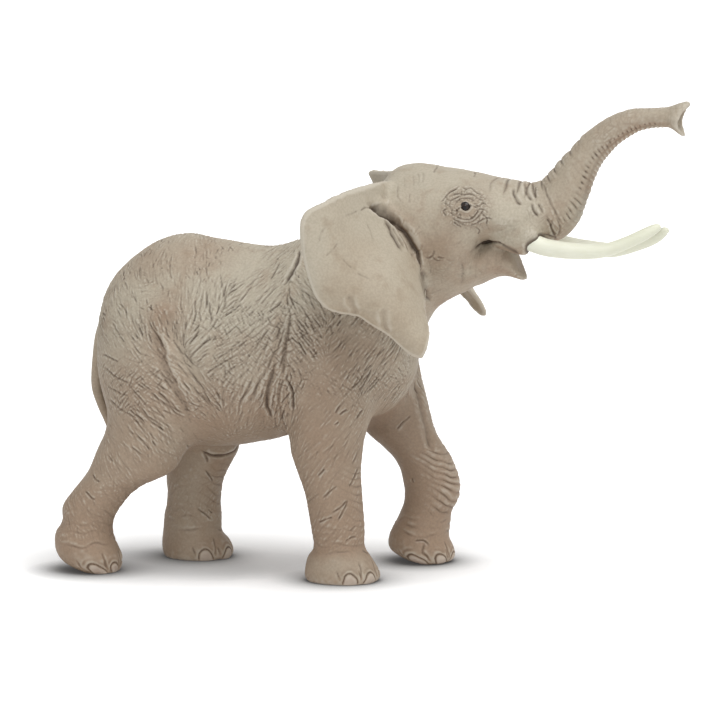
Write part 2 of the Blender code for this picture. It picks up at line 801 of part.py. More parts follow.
def sheath_guide(name, sign):
    """The thick lip that a tusk grows out of, a short tube round the tusk's root."""
    line = spline([tusk_point(sign, *row) for row in SHEATH_SHARES], SHEATH_RINGS)
    return guide(name, loft_mesh(name, tube_rings(line, TUSK_SIDES)))


def ear_point(share, sign):
    return (
        HEAD_X + EAR_OFFSET + share[0] * EAR_REACH,
        sign * (EAR_ROOT_Y + share[1] * EAR_SPREAD),
        HEAD_Z + EAR_ROOT_HEIGHT + share[2] * EAR_HEIGHT,
    )


def ear_edge(shares, sign, count):
    """Points evenly spaced by length along a smooth line through one edge's points."""
    fine = spline([ear_point(share, sign) for share in shares], EAR_FINE_STEPS)
    steps = np.linalg.norm(np.diff(fine, axis=0), axis=1)
    run = np.concatenate(([0], np.cumsum(steps))) / steps.sum()
    even = np.linspace(0, 1, count)
    return np.column_stack([np.interp(even, run, fine[:, k]) for k in range(3)])


def ear_grid(sign, tongue):
    """A Coons patch between the ear's four edges, and a tongue that enters the head."""
    count = EAR_STEPS
    root = ear_edge(EAR_ROOT_SHARES, sign, count)
    rear = ear_edge(EAR_REAR_SHARES, sign, count)
    top = ear_edge(EAR_TOP_LEFT_SHARES if sign > 0 else EAR_TOP_RIGHT_SHARES, sign, count)
    front = ear_edge(EAR_FRONT_SHARES, sign, count)
    down = np.linspace(0, 1, count)[:, None, None]
    out = np.linspace(0, 1, count)[None, :, None]
    ruled_out = root[:, None] * (1 - out) + rear[:, None] * out
    ruled_down = top[None, :] * (1 - down) + front[None, :] * down
    corners = (root[0] * (1 - out) + rear[0] * out) * (1 - down)
    corners = corners + (root[-1] * (1 - out) + rear[-1] * out) * down
    grid = ruled_out + ruled_down - corners
    hump = np.sin(math.pi * down) * np.sin(math.pi * out)
    grid = grid + hump * np.array((EAR_BULGE_FORWARD, sign * EAR_BULGE_OUT, 0))
    middle_x = HEAD_X + HEAD_MIDDLE_SHARES[0] * HEAD_LENGTH
    middle_z = HEAD_Z + HEAD_MIDDLE_SHARES[1] * HEAD_HEIGHT
    inward = np.array((middle_x, 0, middle_z)) - root
    inner = root + tongue * inward / np.linalg.norm(inward, axis=1)[:, None]
    return np.concatenate((inner[:, None], grid), axis=1)


def widened(grid, extra):
    """The same grid with one more row at its top and its bottom, extra further out."""
    above = grid[0] - grid[1]
    below = grid[-1] - grid[-2]
    above *= extra / np.linalg.norm(above, axis=1)[:, None]
    below *= extra / np.linalg.norm(below, axis=1)[:, None]
    return np.concatenate(((grid[0] + above)[None], grid, (grid[-1] + below)[None]))


def ear_mesh(name, sign, grow):
    grid = ear_grid(sign, EAR_TONGUE + grow)
    if grow:
        grid = widened(grid, 2 * grow)
    tall, wide, _ = grid.shape
    faces = []
    for row in range(tall - 1):
        for column in range(wide - 1):
            corner = row * wide + column
            faces.append((corner, corner + 1, corner + wide + 1, corner + wide))
    mesh = bpy.data.meshes.new(name)
    mesh.from_pydata([tuple(point) for point in grid.reshape(-1, 3)], [], faces)
    return mesh


def thicken(thing, thickness):
    wall = thing.modifiers.new("wall", "SOLIDIFY")
    wall.thickness = thickness
    wall.offset = 0
    wall.use_even_offset = True


def build_ear(side, sign, finish):
    name = f"ear_{side}"
    ear = add_object(name, ear_mesh(name, sign, 0), PARTS, finish)
    thicken(ear, EAR_THICKNESS)
    ear.data.shade_smooth()
    return ear


def ear_slot(side, sign):
    name = f"ear_{side}_slot"
    slot = guide(name, ear_mesh(name, sign, GLUE_GAP))
    thicken(slot, EAR_THICKNESS + 2 * GLUE_GAP)
    return slot


def eye_mesh(name, sign, grow):
    mesh = bpy.data.meshes.new(name)
    ball = bmesh.new()
    bmesh.ops.create_uvsphere(
        ball, u_segments=EYE_SEGMENTS, v_segments=EYE_RINGS, radius=EYE_RADIUS + grow
    )
    place = Matrix.Translation((HEAD_X + EYE_OFFSET, sign * EYE_SPREAD, HEAD_Z + EYE_HEIGHT))
    bmesh.ops.transform(ball, matrix=place, verts=ball.verts)
    ball.to_mesh(mesh)
    ball.free()
    return mesh


def build_eye(side, sign, finish):
    name = f"eye_{side}"
    eye = add_object(name, eye_mesh(name, sign, 0), PARTS, finish)
    eye.data.shade_smooth()
    return eye


def jaw_mesh(name, grow):
    size = (JAW_LENGTH, JAW_WIDTH, JAW_HEIGHT)
    origin = (HEAD_X + JAW_OFFSET, HEAD_Z + JAW_ROOT_HEIGHT)
    rows = np.array(slices_in_metres(JAW_SHARES, origin, size))
    rows[0, (0, 2)] -= grow
    rings = slice_rings(spline(rows, JAW_RINGS), LEG_SIDES, grow)
    return loft_mesh(name, rings)


def build_jaw(finish):
    jaw = add_object("lower_jaw", jaw_mesh("lower_jaw", 0), PARTS, finish)
    jaw.data.shade_smooth()
    return jaw


def nostril_guide():
    """A tapered hollow in the trunk's tip, along the way that the trunk ends."""
    rows = np.array(trunk_rows())
    middles = (rows[:, 0:2] + rows[:, 2:4]) / 2
    tip = middles[-1]
    way = (middles[-1] - middles[-3]) / np.linalg.norm(middles[-1] - middles[-3])
    line = []
    for along, radius in NOSTRIL_SHARES:
        x, z = tip + way * along * NOSTRIL_DEPTH
        line.append((x, 0, z, radius * NOSTRIL_WIDTH))
    rings = tube_rings(line, NOSTRIL_SIDES, 0, NOSTRIL_HEIGHT / NOSTRIL_WIDTH)
    return guide("nostril", loft_mesh("nostril", rings))


def build_head(finish):
    """Everything ahead of the neck seam, with the sockets of the pieces that it holds."""
    head = add_object("head", body_mesh("head"), PARTS, finish)
    boolean(head, neck_block("head_neck_cut", False), "DIFFERENCE")
    boolean(head, neck_peg("neck_spigot", 0), "UNION")
    for side, sign in SIDES:
        boolean(head, sheath_guide(f"sheath_{side}", sign), "UNION")
    boolean(head, guide("jaw_socket", jaw_mesh("jaw_socket", GLUE_GAP)), "DIFFERENCE")
    for side, sign in SIDES:
        boolean(head, tusk_guide(f"tusk_{side}_socket", sign, GLUE_GAP), "DIFFERENCE")
        boolean(head, ear_slot(side, sign), "DIFFERENCE")
        socket = guide(f"eye_{side}_socket", eye_mesh(f"eye_{side}_socket", sign, GLUE_GAP))
        boolean(head, socket, "DIFFERENCE")
    boolean(head, nostril_guide(), "DIFFERENCE")
    head.data.shade_smooth()
    return head


def centre_on_origin():
    """Hangs every piece and cutter on an empty, and puts the figure's middle at x = y = 0."""
    bpy.context.view_layer.update()
    graph = bpy.context.evaluated_depsgraph_get()
    low = np.full(3, np.inf)
    high = np.full(3, -np.inf)
    for thing in PARTS.objects:
        shape = thing.evaluated_get(graph)
        count = len(shape.data.vertices)
        points = np.empty(3 * count)
        shape.data.vertices.foreach_get("co", points)
        points = points.reshape(-1, 3)
        low = np.minimum(low, points.min(axis=0))
        high = np.maximum(high, points.max(axis=0))
    stand = bpy.data.objects.new("figure_origin", None)
    bpy.context.scene.collection.objects.link(stand)
    for thing in (*PARTS.objects, *GUIDES.objects):
        thing.parent = stand
    stand.location = (-(low[0] + high[0]) / 2, -(low[1] + high[1]) / 2, -low[2])
    bpy.context.view_layer.update()


def build_figure():
    clear_scene()
    torso_paint = paint("torso_paint", TORSO_COLOUR, BODY_ROUGHNESS)
    head_paint = paint("head_paint", HEAD_COLOUR, BODY_ROUGHNESS)
    ear_paint = paint("ear_paint", EAR_COLOUR, EAR_ROUGHNESS)
    leg_paint = paint("leg_paint", LEG_COLOUR, LEG_ROUGHNESS)
    ivory_paint = paint("ivory_paint", IVORY_COLOUR, IVORY_ROUGHNESS)
    eye_paint = paint("eye_paint", EYE_COLOUR, EYE_ROUGHNESS)
    hollow = hollow_guide()
    for side, sign in SIDES:
        build_shell(side, sign, hollow, torso_paint)
    build_head(head_paint)
    build_jaw(head_paint)
    for side, sign in SIDES:
        build_ear(side, sign, ear_paint)
        build_tusk(side, sign, ivory_paint)
        build_eye(side, sign, eye_paint)
    build_tail(torso_paint)
    for leg in LEGS:
        build_leg(leg, leg_paint)
    centre_on_origin()


build_figure()
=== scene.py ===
"""Looks of the toy elephant figure.

The skin is one smooth form, made from the body, head, trunk, jaw, ears and legs. Folds,
creases, nails and eyelids are pressed into it, and it is then parted along the seams of
the CAD pieces. The tusks, eyes and tail are surfaces of their own. Lengths here are in
millimetres, with x measured forwards from the rump, until a mesh is made.
"""

import json
import math

import bmesh
import bpy
import numpy as np
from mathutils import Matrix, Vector


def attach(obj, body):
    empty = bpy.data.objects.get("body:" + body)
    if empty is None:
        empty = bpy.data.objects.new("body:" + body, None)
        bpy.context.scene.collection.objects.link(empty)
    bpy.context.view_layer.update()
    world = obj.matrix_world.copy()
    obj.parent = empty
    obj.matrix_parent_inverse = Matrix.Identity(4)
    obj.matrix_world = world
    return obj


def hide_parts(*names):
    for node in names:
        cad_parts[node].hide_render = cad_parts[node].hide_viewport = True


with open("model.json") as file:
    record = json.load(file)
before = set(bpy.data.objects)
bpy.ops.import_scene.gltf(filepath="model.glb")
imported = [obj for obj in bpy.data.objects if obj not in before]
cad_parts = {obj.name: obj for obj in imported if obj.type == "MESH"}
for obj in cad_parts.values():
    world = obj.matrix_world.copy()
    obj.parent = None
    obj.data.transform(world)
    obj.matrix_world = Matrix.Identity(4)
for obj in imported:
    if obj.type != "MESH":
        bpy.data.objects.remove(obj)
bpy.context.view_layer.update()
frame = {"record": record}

METRES = 0.001
# Where the world's origin lies, in this file's millimetres.
ORIGIN = np.array((89.02, -0.03, 0.0))

# The side drawing that folds and creases are placed on: it is seen from the figure's
# right, turned towards its front and from a little above, in steps of STEP millimetres.
DRAWING_TURN = math.radians(12)
DRAWING_TILT = math.radians(10)
STEP = 0.3125
DRAWING_ZERO = (372.0, 570.0)
DRAWING_X = 86.6
DRAWING_SIZE = 720
# The way from the drawing's middle to the eye.
DRAWING_BACK = (
    math.sin(DRAWING_TURN) * math.cos(DRAWING_TILT),
    -math.cos(DRAWING_TURN) * math.cos(DRAWING_TILT),
    math.sin(DRAWING_TILT),
)

# Slices of the body: top x, top z, bottom x, bottom z, half width, widest place.
BODY = (
    (0.5, 76.0, 0.7, 57.9, 8.0, 0.0),
    (1.6, 84.2, 2.1, 50.0, 15.1, 0.0),
    (4.2, 90.0, 4.9, 45.5, 19.9, 0.0),
    (8.6, 95.0, 9.6, 42.1, 23.7, 0.0),
    (16.3, 101.0, 17.6, 39.6, 26.8, -0.1),
    (27.2, 104.6, 28.6, 38.3, 28.5, -0.2),
    (39.6, 103.0, 40.6, 38.0, 28.5, -0.2),
    (54.3, 101.6, 54.6, 40.6, 28.5, -0.2),
    (65.6, 105.0, 68.6, 44.6, 27.4, -0.2),
    (74.6, 108.4, 82.6, 47.0, 25.7, -0.2),
    (81.6, 113.5, 94.0, 52.0, 23.9, 0.0),
    (87.6, 119.5, 100.2, 62.0, 22.2, 0.1),
    (91.1, 124.5, 102.0, 74.0, 20.8, 0.2),
    (94.6, 128.0, 107.2, 83.6, 19.6, 0.2),
    (100.6, 129.6, 112.6, 87.2, 19.8, 0.1),
    (108.1, 128.9, 118.0, 90.0, 19.4, 0.1),
    (114.9, 128.1, 121.6, 96.2, 18.4, 0.1),
    (120.6, 126.9, 123.6, 105.4, 17.2, 0.1),
    (126.6, 125.7, 128.6, 108.0, 15.6, 0.0),
    (132.6, 124.9, 135.6, 104.6, 13.5, 0.0),
    (138.0, 124.5, 143.6, 106.0, 11.1, 0.0),
    (141.1, 125.7, 149.6, 108.8, 9.6, 0.0),
    (143.9, 128.9, 153.2, 114.2, 8.4, 0.0),
    (146.7, 132.2, 155.8, 121.0, 7.2, 0.0),
    (150.1, 136.0, 157.8, 127.3, 6.0, 0.0),
    (154.6, 141.1, 160.2, 132.4, 5.2, 0.0),
    (160.0, 145.1, 163.9, 136.7, 4.7, 0.0),
    (164.7, 147.8, 167.9, 139.8, 4.3, 0.0),
    (169.9, 149.6, 172.2, 142.4, 3.8, 0.0),
    (175.9, 150.2, 176.7, 143.6, 3.4, 0.0),
    (181.2, 150.4, 181.8, 143.8, 3.4, 0.0),
    (184.6, 151.8, 185.0, 141.6, 4.2, 0.0),
    (187.6, 152.6, 186.6, 140.8, 4.6, 0.0),
    (188.8, 151.6, 187.0, 141.2, 4.2, 0.0),
)
# The nostrils' hollow, in the same columns, from the rim inwards.
NOSTRIL = (
    (188.0, 150.5, 186.6, 142.2, 3.2, 0.0),
    (185.6, 149.6, 185.0, 143.6, 2.7, 0.0),
    (182.6, 148.6, 182.4, 145.2, 1.6, 0.0),
)
# Slices of the jaw from its root to the chin's tip, in the same columns.
JAW = (
    (112.6, 100.0, 112.6, 88.5, 10.0, 0.0),
    (117.6, 104.0, 117.6, 90.4, 12.2, 0.0),
    (122.6, 105.8, 123.1, 92.6, 12.5, 0.0),
    (127.1, 107.8, 127.5, 94.6, 10.8, 0.0),
    (130.4, 105.6, 131.4, 94.9, 8.1, 0.0),
    (131.6, 103.7, 133.9, 94.0, 6.6, -0.2),
    (132.9, 100.9, 135.3, 93.7, 5.2, -0.3),
    (134.5, 97.4, 136.3, 93.6, 3.6, -0.3),
    (136.0, 95.4, 136.4, 93.9, 1.6, 0.0),
)
# Slices of the legs: height, middle x, middle y, half length, half width.
LEGS = {
    "front_leg_right": (
        (0.0, 81.1, -19.5, 11.3, 10.0),
        (2.0, 81.1, -19.5, 11.8, 10.5),
        (7.0, 80.3, -19.5, 9.9, 9.6),
        (10.5, 80.3, -19.5, 7.9, 8.3),
        (16.5, 79.9, -19.5, 8.3, 8.0),
        (23.5, 79.0, -19.3, 8.7, 8.2),
        (29.5, 77.9, -19.1, 9.2, 8.6),
        (36.0, 76.6, -18.5, 10.5, 9.5),
        (44.0, 75.8, -17.6, 11.8, 11.0),
        (52.0, 76.6, -16.5, 13.5, 12.4),
        (65.0, 77.1, -15.5, 14.0, 13.4),
        (80.0, 77.1, -14.5, 12.0, 12.0),
        (95.0, 78.5, -12.0, 6.0, 6.0),
    ),
    "front_leg_left": (
        (0.0, 101.1, 20.0, 5.0, 7.0),
        (1.3, 100.3, 20.0, 8.0, 9.0),
        (4.0, 98.2, 20.0, 9.9, 10.0),
        (7.5, 97.3, 20.0, 9.4, 9.6),
        (11.6, 98.3, 20.0, 8.7, 8.6),
        (16.0, 99.7, 20.0, 7.9, 8.0),
        (20.0, 101.5, 20.0, 8.4, 8.2),
        (25.0, 101.5, 19.8, 8.8, 8.6),
        (31.0, 99.7, 19.4, 8.8, 9.0),
        (36.0, 96.3, 19.0, 9.6, 9.6),
        (41.0, 92.1, 18.2, 10.8, 10.5),
        (50.0, 87.1, 16.8, 13.4, 12.0),
        (65.0, 82.0, 15.8, 16.0, 13.4),
        (80.0, 80.0, 14.6, 15.0, 12.0),
        (95.0, 78.6, 12.0, 6.0, 6.0),
    ),
    "rear_leg_right": (
        (0.0, 4.0, -18.0, 5.5, 7.0),
        (2.4, 1.3, -18.0, 8.6, 9.3),
        (5.0, 0.0, -18.0, 9.9, 10.0),
        (7.0, -0.7, -18.0, 9.9, 10.0),
        (11.5, -1.5, -18.0, 9.2, 9.2),
        (15.5, -0.4, -18.0, 8.0, 8.2),
        (20.5, 1.2, -18.0, 9.2, 8.4),
        (27.0, 6.4, -17.7, 10.0, 9.0),
        (32.0, 13.3, -17.5, 13.3, 10.5),
        (38.0, 16.6, -17.1, 14.2, 12.0),
        (46.0, 20.1, -16.5, 14.7, 13.0),
        (58.0, 21.6, -15.5, 15.8, 13.8),
        (72.0, 22.6, -14.5, 14.0, 12.5),
        (88.0, 24.6, -12.0, 7.0, 6.0),
    ),
    "rear_leg_left": (
        (0.0, 28.1, 14.0, 10.5, 9.8),
        (2.0, 28.0, 14.0, 11.1, 10.2),
        (5.0, 27.3, 14.0, 10.5, 9.8),
        (8.0, 26.3, 14.0, 9.2, 9.0),
        (13.0, 26.6, 14.2, 9.0, 8.4),
        (18.0, 26.7, 14.6, 8.4, 8.2),
        (24.0, 26.8, 15.0, 9.0, 8.4),
        (30.0, 28.1, 15.6, 10.5, 9.2),
        (36.0, 28.6, 16.0, 12.5, 10.8),
        (46.0, 27.6, 16.0, 14.5, 12.5),
        (58.0, 26.6, 15.6, 15.5, 13.5),
        (72.0, 24.6, 14.6, 14.0, 12.5),
        (88.0, 24.6, 12.0, 7.0, 6.0),
    ),
}
# The tusks' middle line: x, distance from the middle plane, height of the right one and of
# the left one, radius.
TUSK = (
    (131.7, 8.0, 109.2, 107.8, 1.8),
    (135.4, 9.4, 108.6, 107.1, 2.7),
    (139.2, 10.0, 107.8, 106.2, 2.9),
    (144.1, 10.3, 106.3, 104.1, 2.8),
    (149.0, 10.8, 105.8, 103.1, 2.7),
    (152.5, 11.0, 105.6, 102.7, 2.6),
    (159.6, 11.0, 105.6, 102.3, 2.3),
    (164.1, 10.5, 106.3, 102.9, 2.1),
    (169.9, 9.3, 108.5, 104.8, 1.9),
    (174.0, 8.2, 110.4, 106.7, 1.9),
    (176.9, 7.0, 112.0, 108.4, 1.7),
    (178.9, 6.0, 113.0, 109.9, 1.3),
    (180.1, 5.7, 113.3, 110.1, 0.6),
)
TUSKS = {
    "tusk_right": [(x, -y, right, radius) for x, y, right, _, radius in TUSK],
    "tusk_left": [(x, y, left, radius) for x, y, _, left, radius in TUSK],
}
# The thick lip round a tusk's root and the edge over it, given for the left side: x, y, z,
# radius.
SHEATH = (
    (122.7, 3.6, 112.8, 2.3),
    (129.2, 7.0, 110.2, 4.4),
    (134.6, 9.3, 108.5, 4.5),
    (138.9, 9.9, 107.8, 4.4),
)
SHEATH_TOP = (
    (130.0, 7.6, 111.6, 2.8),
    (135.6, 9.3, 110.2, 4.1),
    (138.8, 10.2, 110.1, 4.0),
    (141.8, 10.2, 110.9, 2.6),
)
# The tail's middle line, in the same columns.
TAIL = (
    (8.7, 0.0, 85.0, 2.2),
    (3.6, 0.0, 78.8, 2.3),
    (0.6, 0.0, 72.1, 2.2),
    (-0.7, 0.0, 64.2, 2.0),
    (-1.3, 0.3, 55.8, 1.8),
    (-0.0, 0.9, 50.2, 1.7),
    (2.6, 1.8, 44.1, 1.8),
    (5.6, 2.4, 37.9, 2.3),
    (7.1, 2.7, 34.0, 1.0),
)
# The four edges of an ear, as x, distance from the middle plane and height; 1 is the left
# ear and -1 the right.
EAR_ROOT = (
    (94.1, 9.0, 126.0),
    (93.1, 15.0, 119.0),
    (98.6, 19.3, 109.0),
    (104.1, 18.2, 100.3),
    (105.9, 12.5, 91.0),
)
EAR_REAR = {
    -1: (
        (74.2, 50.0, 117.6),
        (74.3, 50.0, 111.9),
        (75.8, 50.0, 104.3),
        (78.7, 50.0, 95.9),
        (82.6, 49.0, 91.0),
        (87.6, 48.0, 89.3),
        (92.2, 47.0, 88.6),
        (95.6, 46.4, 86.2),
        (100.5, 45.5, 83.2),
        (104.6, 44.7, 79.4),
        (108.4, 44.0, 76.2),
        (111.8, 43.0, 75.0),
    ),
    1: (
        (74.6, 50.0, 117.4),
        (76.7, 50.0, 112.8),
        (78.0, 50.0, 104.3),
        (80.0, 50.0, 96.4),
        (83.4, 49.0, 91.4),
        (87.9, 48.0, 89.8),
        (93.0, 47.2, 88.4),
        (100.4, 46.0, 83.8),
        (105.8, 45.0, 79.8),
        (109.8, 44.0, 75.8),
        (112.6, 43.3, 73.8),
        (114.2, 43.0, 74.0),
    ),
}
EAR_TOP = {
    -1: (
        (94.1, 9.0, 126.0),
        (85.0, 35.0, 125.5),
        (80.3, 44.0, 123.8),
        (75.6, 48.0, 121.2),
        (74.2, 50.0, 117.6),
    ),
    1: (
        (94.1, 9.0, 126.0),
        (85.0, 35.0, 120.6),
        (80.5, 44.0, 118.9),
        (76.1, 48.5, 118.2),
        (74.6, 50.0, 117.4),
    ),
}
EAR_FRONT = {
    -1: (
        (105.9, 12.5, 91.0),
        (109.9, 30.0, 87.9),
        (113.0, 38.0, 82.6),
        (113.4, 42.0, 79.0),
        (111.8, 43.0, 75.0),
    ),
    1: (
        (105.9, 12.5, 91.0),
        (106.9, 30.0, 87.9),
        (109.6, 38.0, 84.0),
        (112.4, 41.6, 79.6),
        (114.0, 42.8, 76.2),
        (114.2, 43.0, 74.0),
    ),
}
# How far an ear's middle stands out, half its thickness at the rim, and the place in the
# head that its root reaches towards, with its share of the way.
EAR_HUMP = 2.1
EAR_RIM = 0.75
EAR_INSIDE = np.array((107.8, 0, 107))
EAR_REACH = 0.3
EYE = (119.9, 15.8, 119.2)
EYE_RADIUS = 1.8
# Half the length of the eye's opening, and how far it opens above and below.
EYE_HALF = 1.35
LIDS = (1.12, 0.98)
# How far the sides of the trunk's tip are drawn in, behind its upper and lower lip.
TIP_NOTCH = 2.3
# The neck's seam, as x and height of a point on it and its lean, and the legs' height.
NECK_SEAM = (96.6, 98.0, math.radians(22))
LEG_SEAM = 36.0
# The mouth's line from its corner forwards: x and height.
MOUTH = np.array(
    (
        (118.0, 101.6),
        (120.0, 104.2),
        (123.0, 105.6),
        (126.0, 105.2),
        (129.0, 103.6),
        (131.5, 102.6),
        (138.0, 102.6),
    )
)
SKIN_PITCH = 0.64
# The rear right foot reaches back no further than this.
REARMOST = -10.75
# How many times the merged skin is evened out at each place.
ROUNDS = {"belly": 210, "throat": 96, "ears": 40, "lips": 13, "chin": 10, "all over": 5}
# A face within this distance of the ear's or the jaw's own form belongs to it.
OWN_SKIN = 0.9
# How far out from its root line an ear's own skin begins.
EAR_START = 1.2
# What each piece of skin carries at its points: wash in creases and painted shade in gaps,
# how proud it stands, with a painted highlight on the ears' rims, how far it is a nail, and how
# brown its coat is, with painted shade and painted light in it.
SKIN_LAYERS = ("crease", "proud", "nail", "shade")
# A seam is closed by a wall this deep, then by a fan whose middle is drawn in by INWARDS
# towards the figure's middle plane.
SEAM_WALL = 0.5
INWARDS = (1.0, 0.85, 1.0)
# Long pieces are made in two, parted at these lengths from the rump: the part behind and
# the part before.
PARTED = {
    "torso_right_shell": (46.0, "right_flank_skin", "right_shoulder_skin"),
    "torso_left_shell": (46.0, "left_flank_skin", "left_shoulder_skin"),
    "head": (131.0, "head_skin", "trunk_skin"),
}


def spline(rows, count):
    """Catmull-Rom curve: between two rows a cubic whose slopes are half the step across."""
    rows = np.asarray(rows, dtype=float)
    place = np.linspace(0, len(rows) - 1, count)
    start = np.minimum(place.astype(int), len(rows) - 2)
    t = (place - start)[:, None]
    p0 = rows[np.maximum(start - 1, 0)]
    p1 = rows[start]
    p2 = rows[start + 1]
    p3 = rows[np.minimum(start + 2, len(rows) - 1)]
    return (
        p1 * (2 * t**3 - 3 * t**2 + 1)
        + (p2 - p0) / 2 * (t**3 - 2 * t**2 + t)
        + p2 * (3 * t**2 - 2 * t**3)
        + (p3 - p1) / 2 * (t**3 - t**2)
    )


def smoothstep(low, high, value):
    """3t^2 - 2t^3, with t the value's place between low and high, held to 0 and 1."""
    t = np.clip((value - low) / (high - low), 0, 1)
    return t * t * (3 - 2 * t)


def bell(offset, width):
    """e to the power -(offset / width)^2: 1 on a line, fading away on both sides of it."""
    return np.exp(-((offset / width) ** 2))


def loft(rings):
    """A closed skin over rings of points: quads between rings and a fan over each end."""
    rings = np.asarray(rings, dtype=float)
    count, sides, _ = rings.shape
    points = np.concatenate((rings.reshape(-1, 3), [rings[0].mean(0)], [rings[-1].mean(0)]))
    row, side = np.meshgrid(np.arange(count - 1), np.arange(sides), indexing="ij")
    here = (row * sides + side).ravel()
    beside = (row * sides + (side + 1) % sides).ravel()
    quads = np.column_stack((here, beside, beside + sides, here + sides))
    rim = np.arange(sides)
    turned = (rim + 1) % sides
    first = np.full(sides, count * sides)
    last = (count - 1) * sides
    fans = [
        np.column_stack((first, turned, rim)),
        np.column_stack((first + 1, last + rim, last + turned)),
    ]
    return points, [*quads.tolist(), *np.concatenate(fans).tolist()]


def egg_rings(rows, sides, sharpness=1.12):
    """Egg-shaped rings: height goes as the cosine of the angle, with its two halves drawn
    in to the widest place, and width as the sine raised to the sharpness."""
    angle = np.linspace(0, 2 * np.pi, sides, endpoint=False)
    rows = np.asarray(rows)
    top = np.column_stack((rows[:, 0], np.zeros(len(rows)), rows[:, 1]))
    bottom = np.column_stack((rows[:, 2], np.zeros(len(rows)), rows[:, 3]))
    widest = rows[:, 5, None]
    lift = np.cos(angle)[None, :]
    lift = np.where(lift > 0, widest + (1 - widest) * lift, widest + (1 + widest) * lift)
    out = np.sin(angle)
    out = np.sign(out) * np.abs(out) ** sharpness * rows[:, 4, None]
    rings = ((top + bottom) / 2)[:, None] + lift[..., None] * ((top - bottom) / 2)[:, None]
    rings[..., 1] += out
    return rings


def tube_rings(line, sides):
    """Rings square to a line: its points plus radius times two directions across it."""
    line = np.asarray(line)
    ways = np.gradient(line[:, :3], axis=0)
    ways /= np.linalg.norm(ways, axis=1)[:, None]
    across = np.cross(ways, (0, 1, 0))
    across /= np.linalg.norm(across, axis=1)[:, None]
    sideways = np.cross(across, ways)
    angle = np.linspace(0, 2 * np.pi, sides, endpoint=False)[None, :, None]
    ring = np.cos(angle) * across[:, None] + np.sin(angle) * sideways[:, None]
    return line[:, None, :3] + line[:, 3][:, None, None] * ring


def body_form():
    """Rump to trunk tip as one loft, which turns in at the rim to hollow out the nostrils."""
    rows = spline(BODY, 180)
    rings = egg_rings(rows, 72)
    inside = egg_rings(spline((BODY[-1], *NOSTRIL), 12), 72)[1:]
    rings = np.concatenate((rings, inside))
    side = np.sin(np.linspace(0, 2 * np.pi, 72, endpoint=False)) ** 2
    x = rings[..., 0].mean(axis=1)
    draw = smoothstep(180, 187.5, x) * TIP_NOTCH
    rings[..., 0] -= draw[:, None] * side
    return loft(rings)


def leg_at(name, heights):
    """A leg's middle, as x and y, and its half length at the heights."""
    rows = np.array(LEGS[name])
    return [np.interp(heights, rows[:, 0], rows[:, column]) for column in (1, 2, 3)]


def leg_form(rows):
    """Level ellipses, one on the other, from the sole up into the body."""
    angle = np.linspace(0, 2 * np.pi, 64, endpoint=False)
    rows = spline(rows, 110)
    x = rows[:, 1, None] + rows[:, 3, None] * np.cos(angle)
    y = rows[:, 2, None] + rows[:, 4, None] * np.sin(angle)
    z = np.broadcast_to(rows[:, 0, None], x.shape)
    return loft(np.stack((x, y, z), axis=-1))


def even_edge(points, side, count):
    """Points at even lengths along the curve through one edge of an ear."""
    fine = spline(np.array(points) * (1, side, 1), 400)
    run = np.concatenate(([0], np.cumsum(np.linalg.norm(np.diff(fine, axis=0), axis=1))))
    even = np.linspace(0, run[-1], count)
    return np.column_stack([np.interp(even, run, fine[:, k]) for k in range(3)])


def ear_form(side):
    """A Coons patch between the ear's four edges, made a wall that thins to the rim.

    The patch adds the two ways of ruling between facing edges and takes off the plane
    through the corners. Its two skins then lie half a wall each way along its normal.
    """
    count = 90
    edges = (EAR_ROOT, EAR_REAR[side], EAR_TOP[side], EAR_FRONT[side])
    root, rear, top, front = [even_edge(edge, side, count) for edge in edges]
    down = np.linspace(0, 1, count)[:, None, None]
    out = np.linspace(0, 1, count)[None, :, None]
    grid = root[:, None] * (1 - out) + rear[:, None] * out
    grid = grid + top[None] * (1 - down) + front[None] * down
    corners = (root[0] * (1 - out) + rear[0] * out) * (1 - down)
    grid = grid - corners - (root[-1] * (1 - out) + rear[-1] * out) * down
    hump = np.sin(np.pi * down) * np.sin(np.pi * out)
    grid = grid + hump * np.array((EAR_HUMP, side * EAR_HUMP, 0))
    inner = root + (EAR_INSIDE - root) * EAR_REACH
    grid = np.concatenate((inner[:, None], grid), axis=1)
    tall = np.gradient(grid, axis=0)
    wide = np.gradient(grid, axis=1)
    normal = np.cross(tall, wide)
    normal /= np.linalg.norm(normal, axis=2)[..., None]
    edge = np.minimum(np.minimum(down, 1 - down), 1 - out)[..., 0] * 40
    edge = np.concatenate((edge[:, :1], edge), axis=1)
    half = EAR_RIM + EAR_RIM * smoothstep(0, 3, edge)[..., None]
    return closed_wall(grid + normal * half, grid - normal * half)


def closed_wall(near, far):
    """Two grids of the same size joined along their four edges into one closed body."""
    tall, wide, _ = near.shape
    row, column = np.meshgrid(np.arange(tall - 1), np.arange(wide - 1), indexing="ij")
    corner = (row * wide + column).ravel()
    size = tall * wide
    front = np.column_stack((corner, corner + 1, corner + wide + 1, corner + wide))
    back = front[:, ::-1] + size
    top = np.arange(wide)
    right = np.arange(tall) * wide + wide - 1
    bottom = top[::-1] + (tall - 1) * wide
    left = np.arange(tall)[::-1] * wide
    loop = np.concatenate((top[:-1], right[:-1], bottom[:-1], left[:-1]))
    after = np.roll(loop, -1)
    rim = np.column_stack((after, loop, loop + size, after + size))
    points = np.concatenate((near.reshape(-1, 3), far.reshape(-1, 3)))
    return points, np.concatenate((front, back, rim)).tolist()


def in_scene(name, data):
    """A new object of the scene that shows the data."""
    thing = bpy.data.objects.new(name, data)
    bpy.context.scene.collection.objects.link(thing)
    return thing


def discard(*things):
    """Takes objects and their meshes out of the file again."""
    for thing in things:
        mesh = thing.data
        bpy.data.objects.remove(thing)
        bpy.data.meshes.remove(mesh)


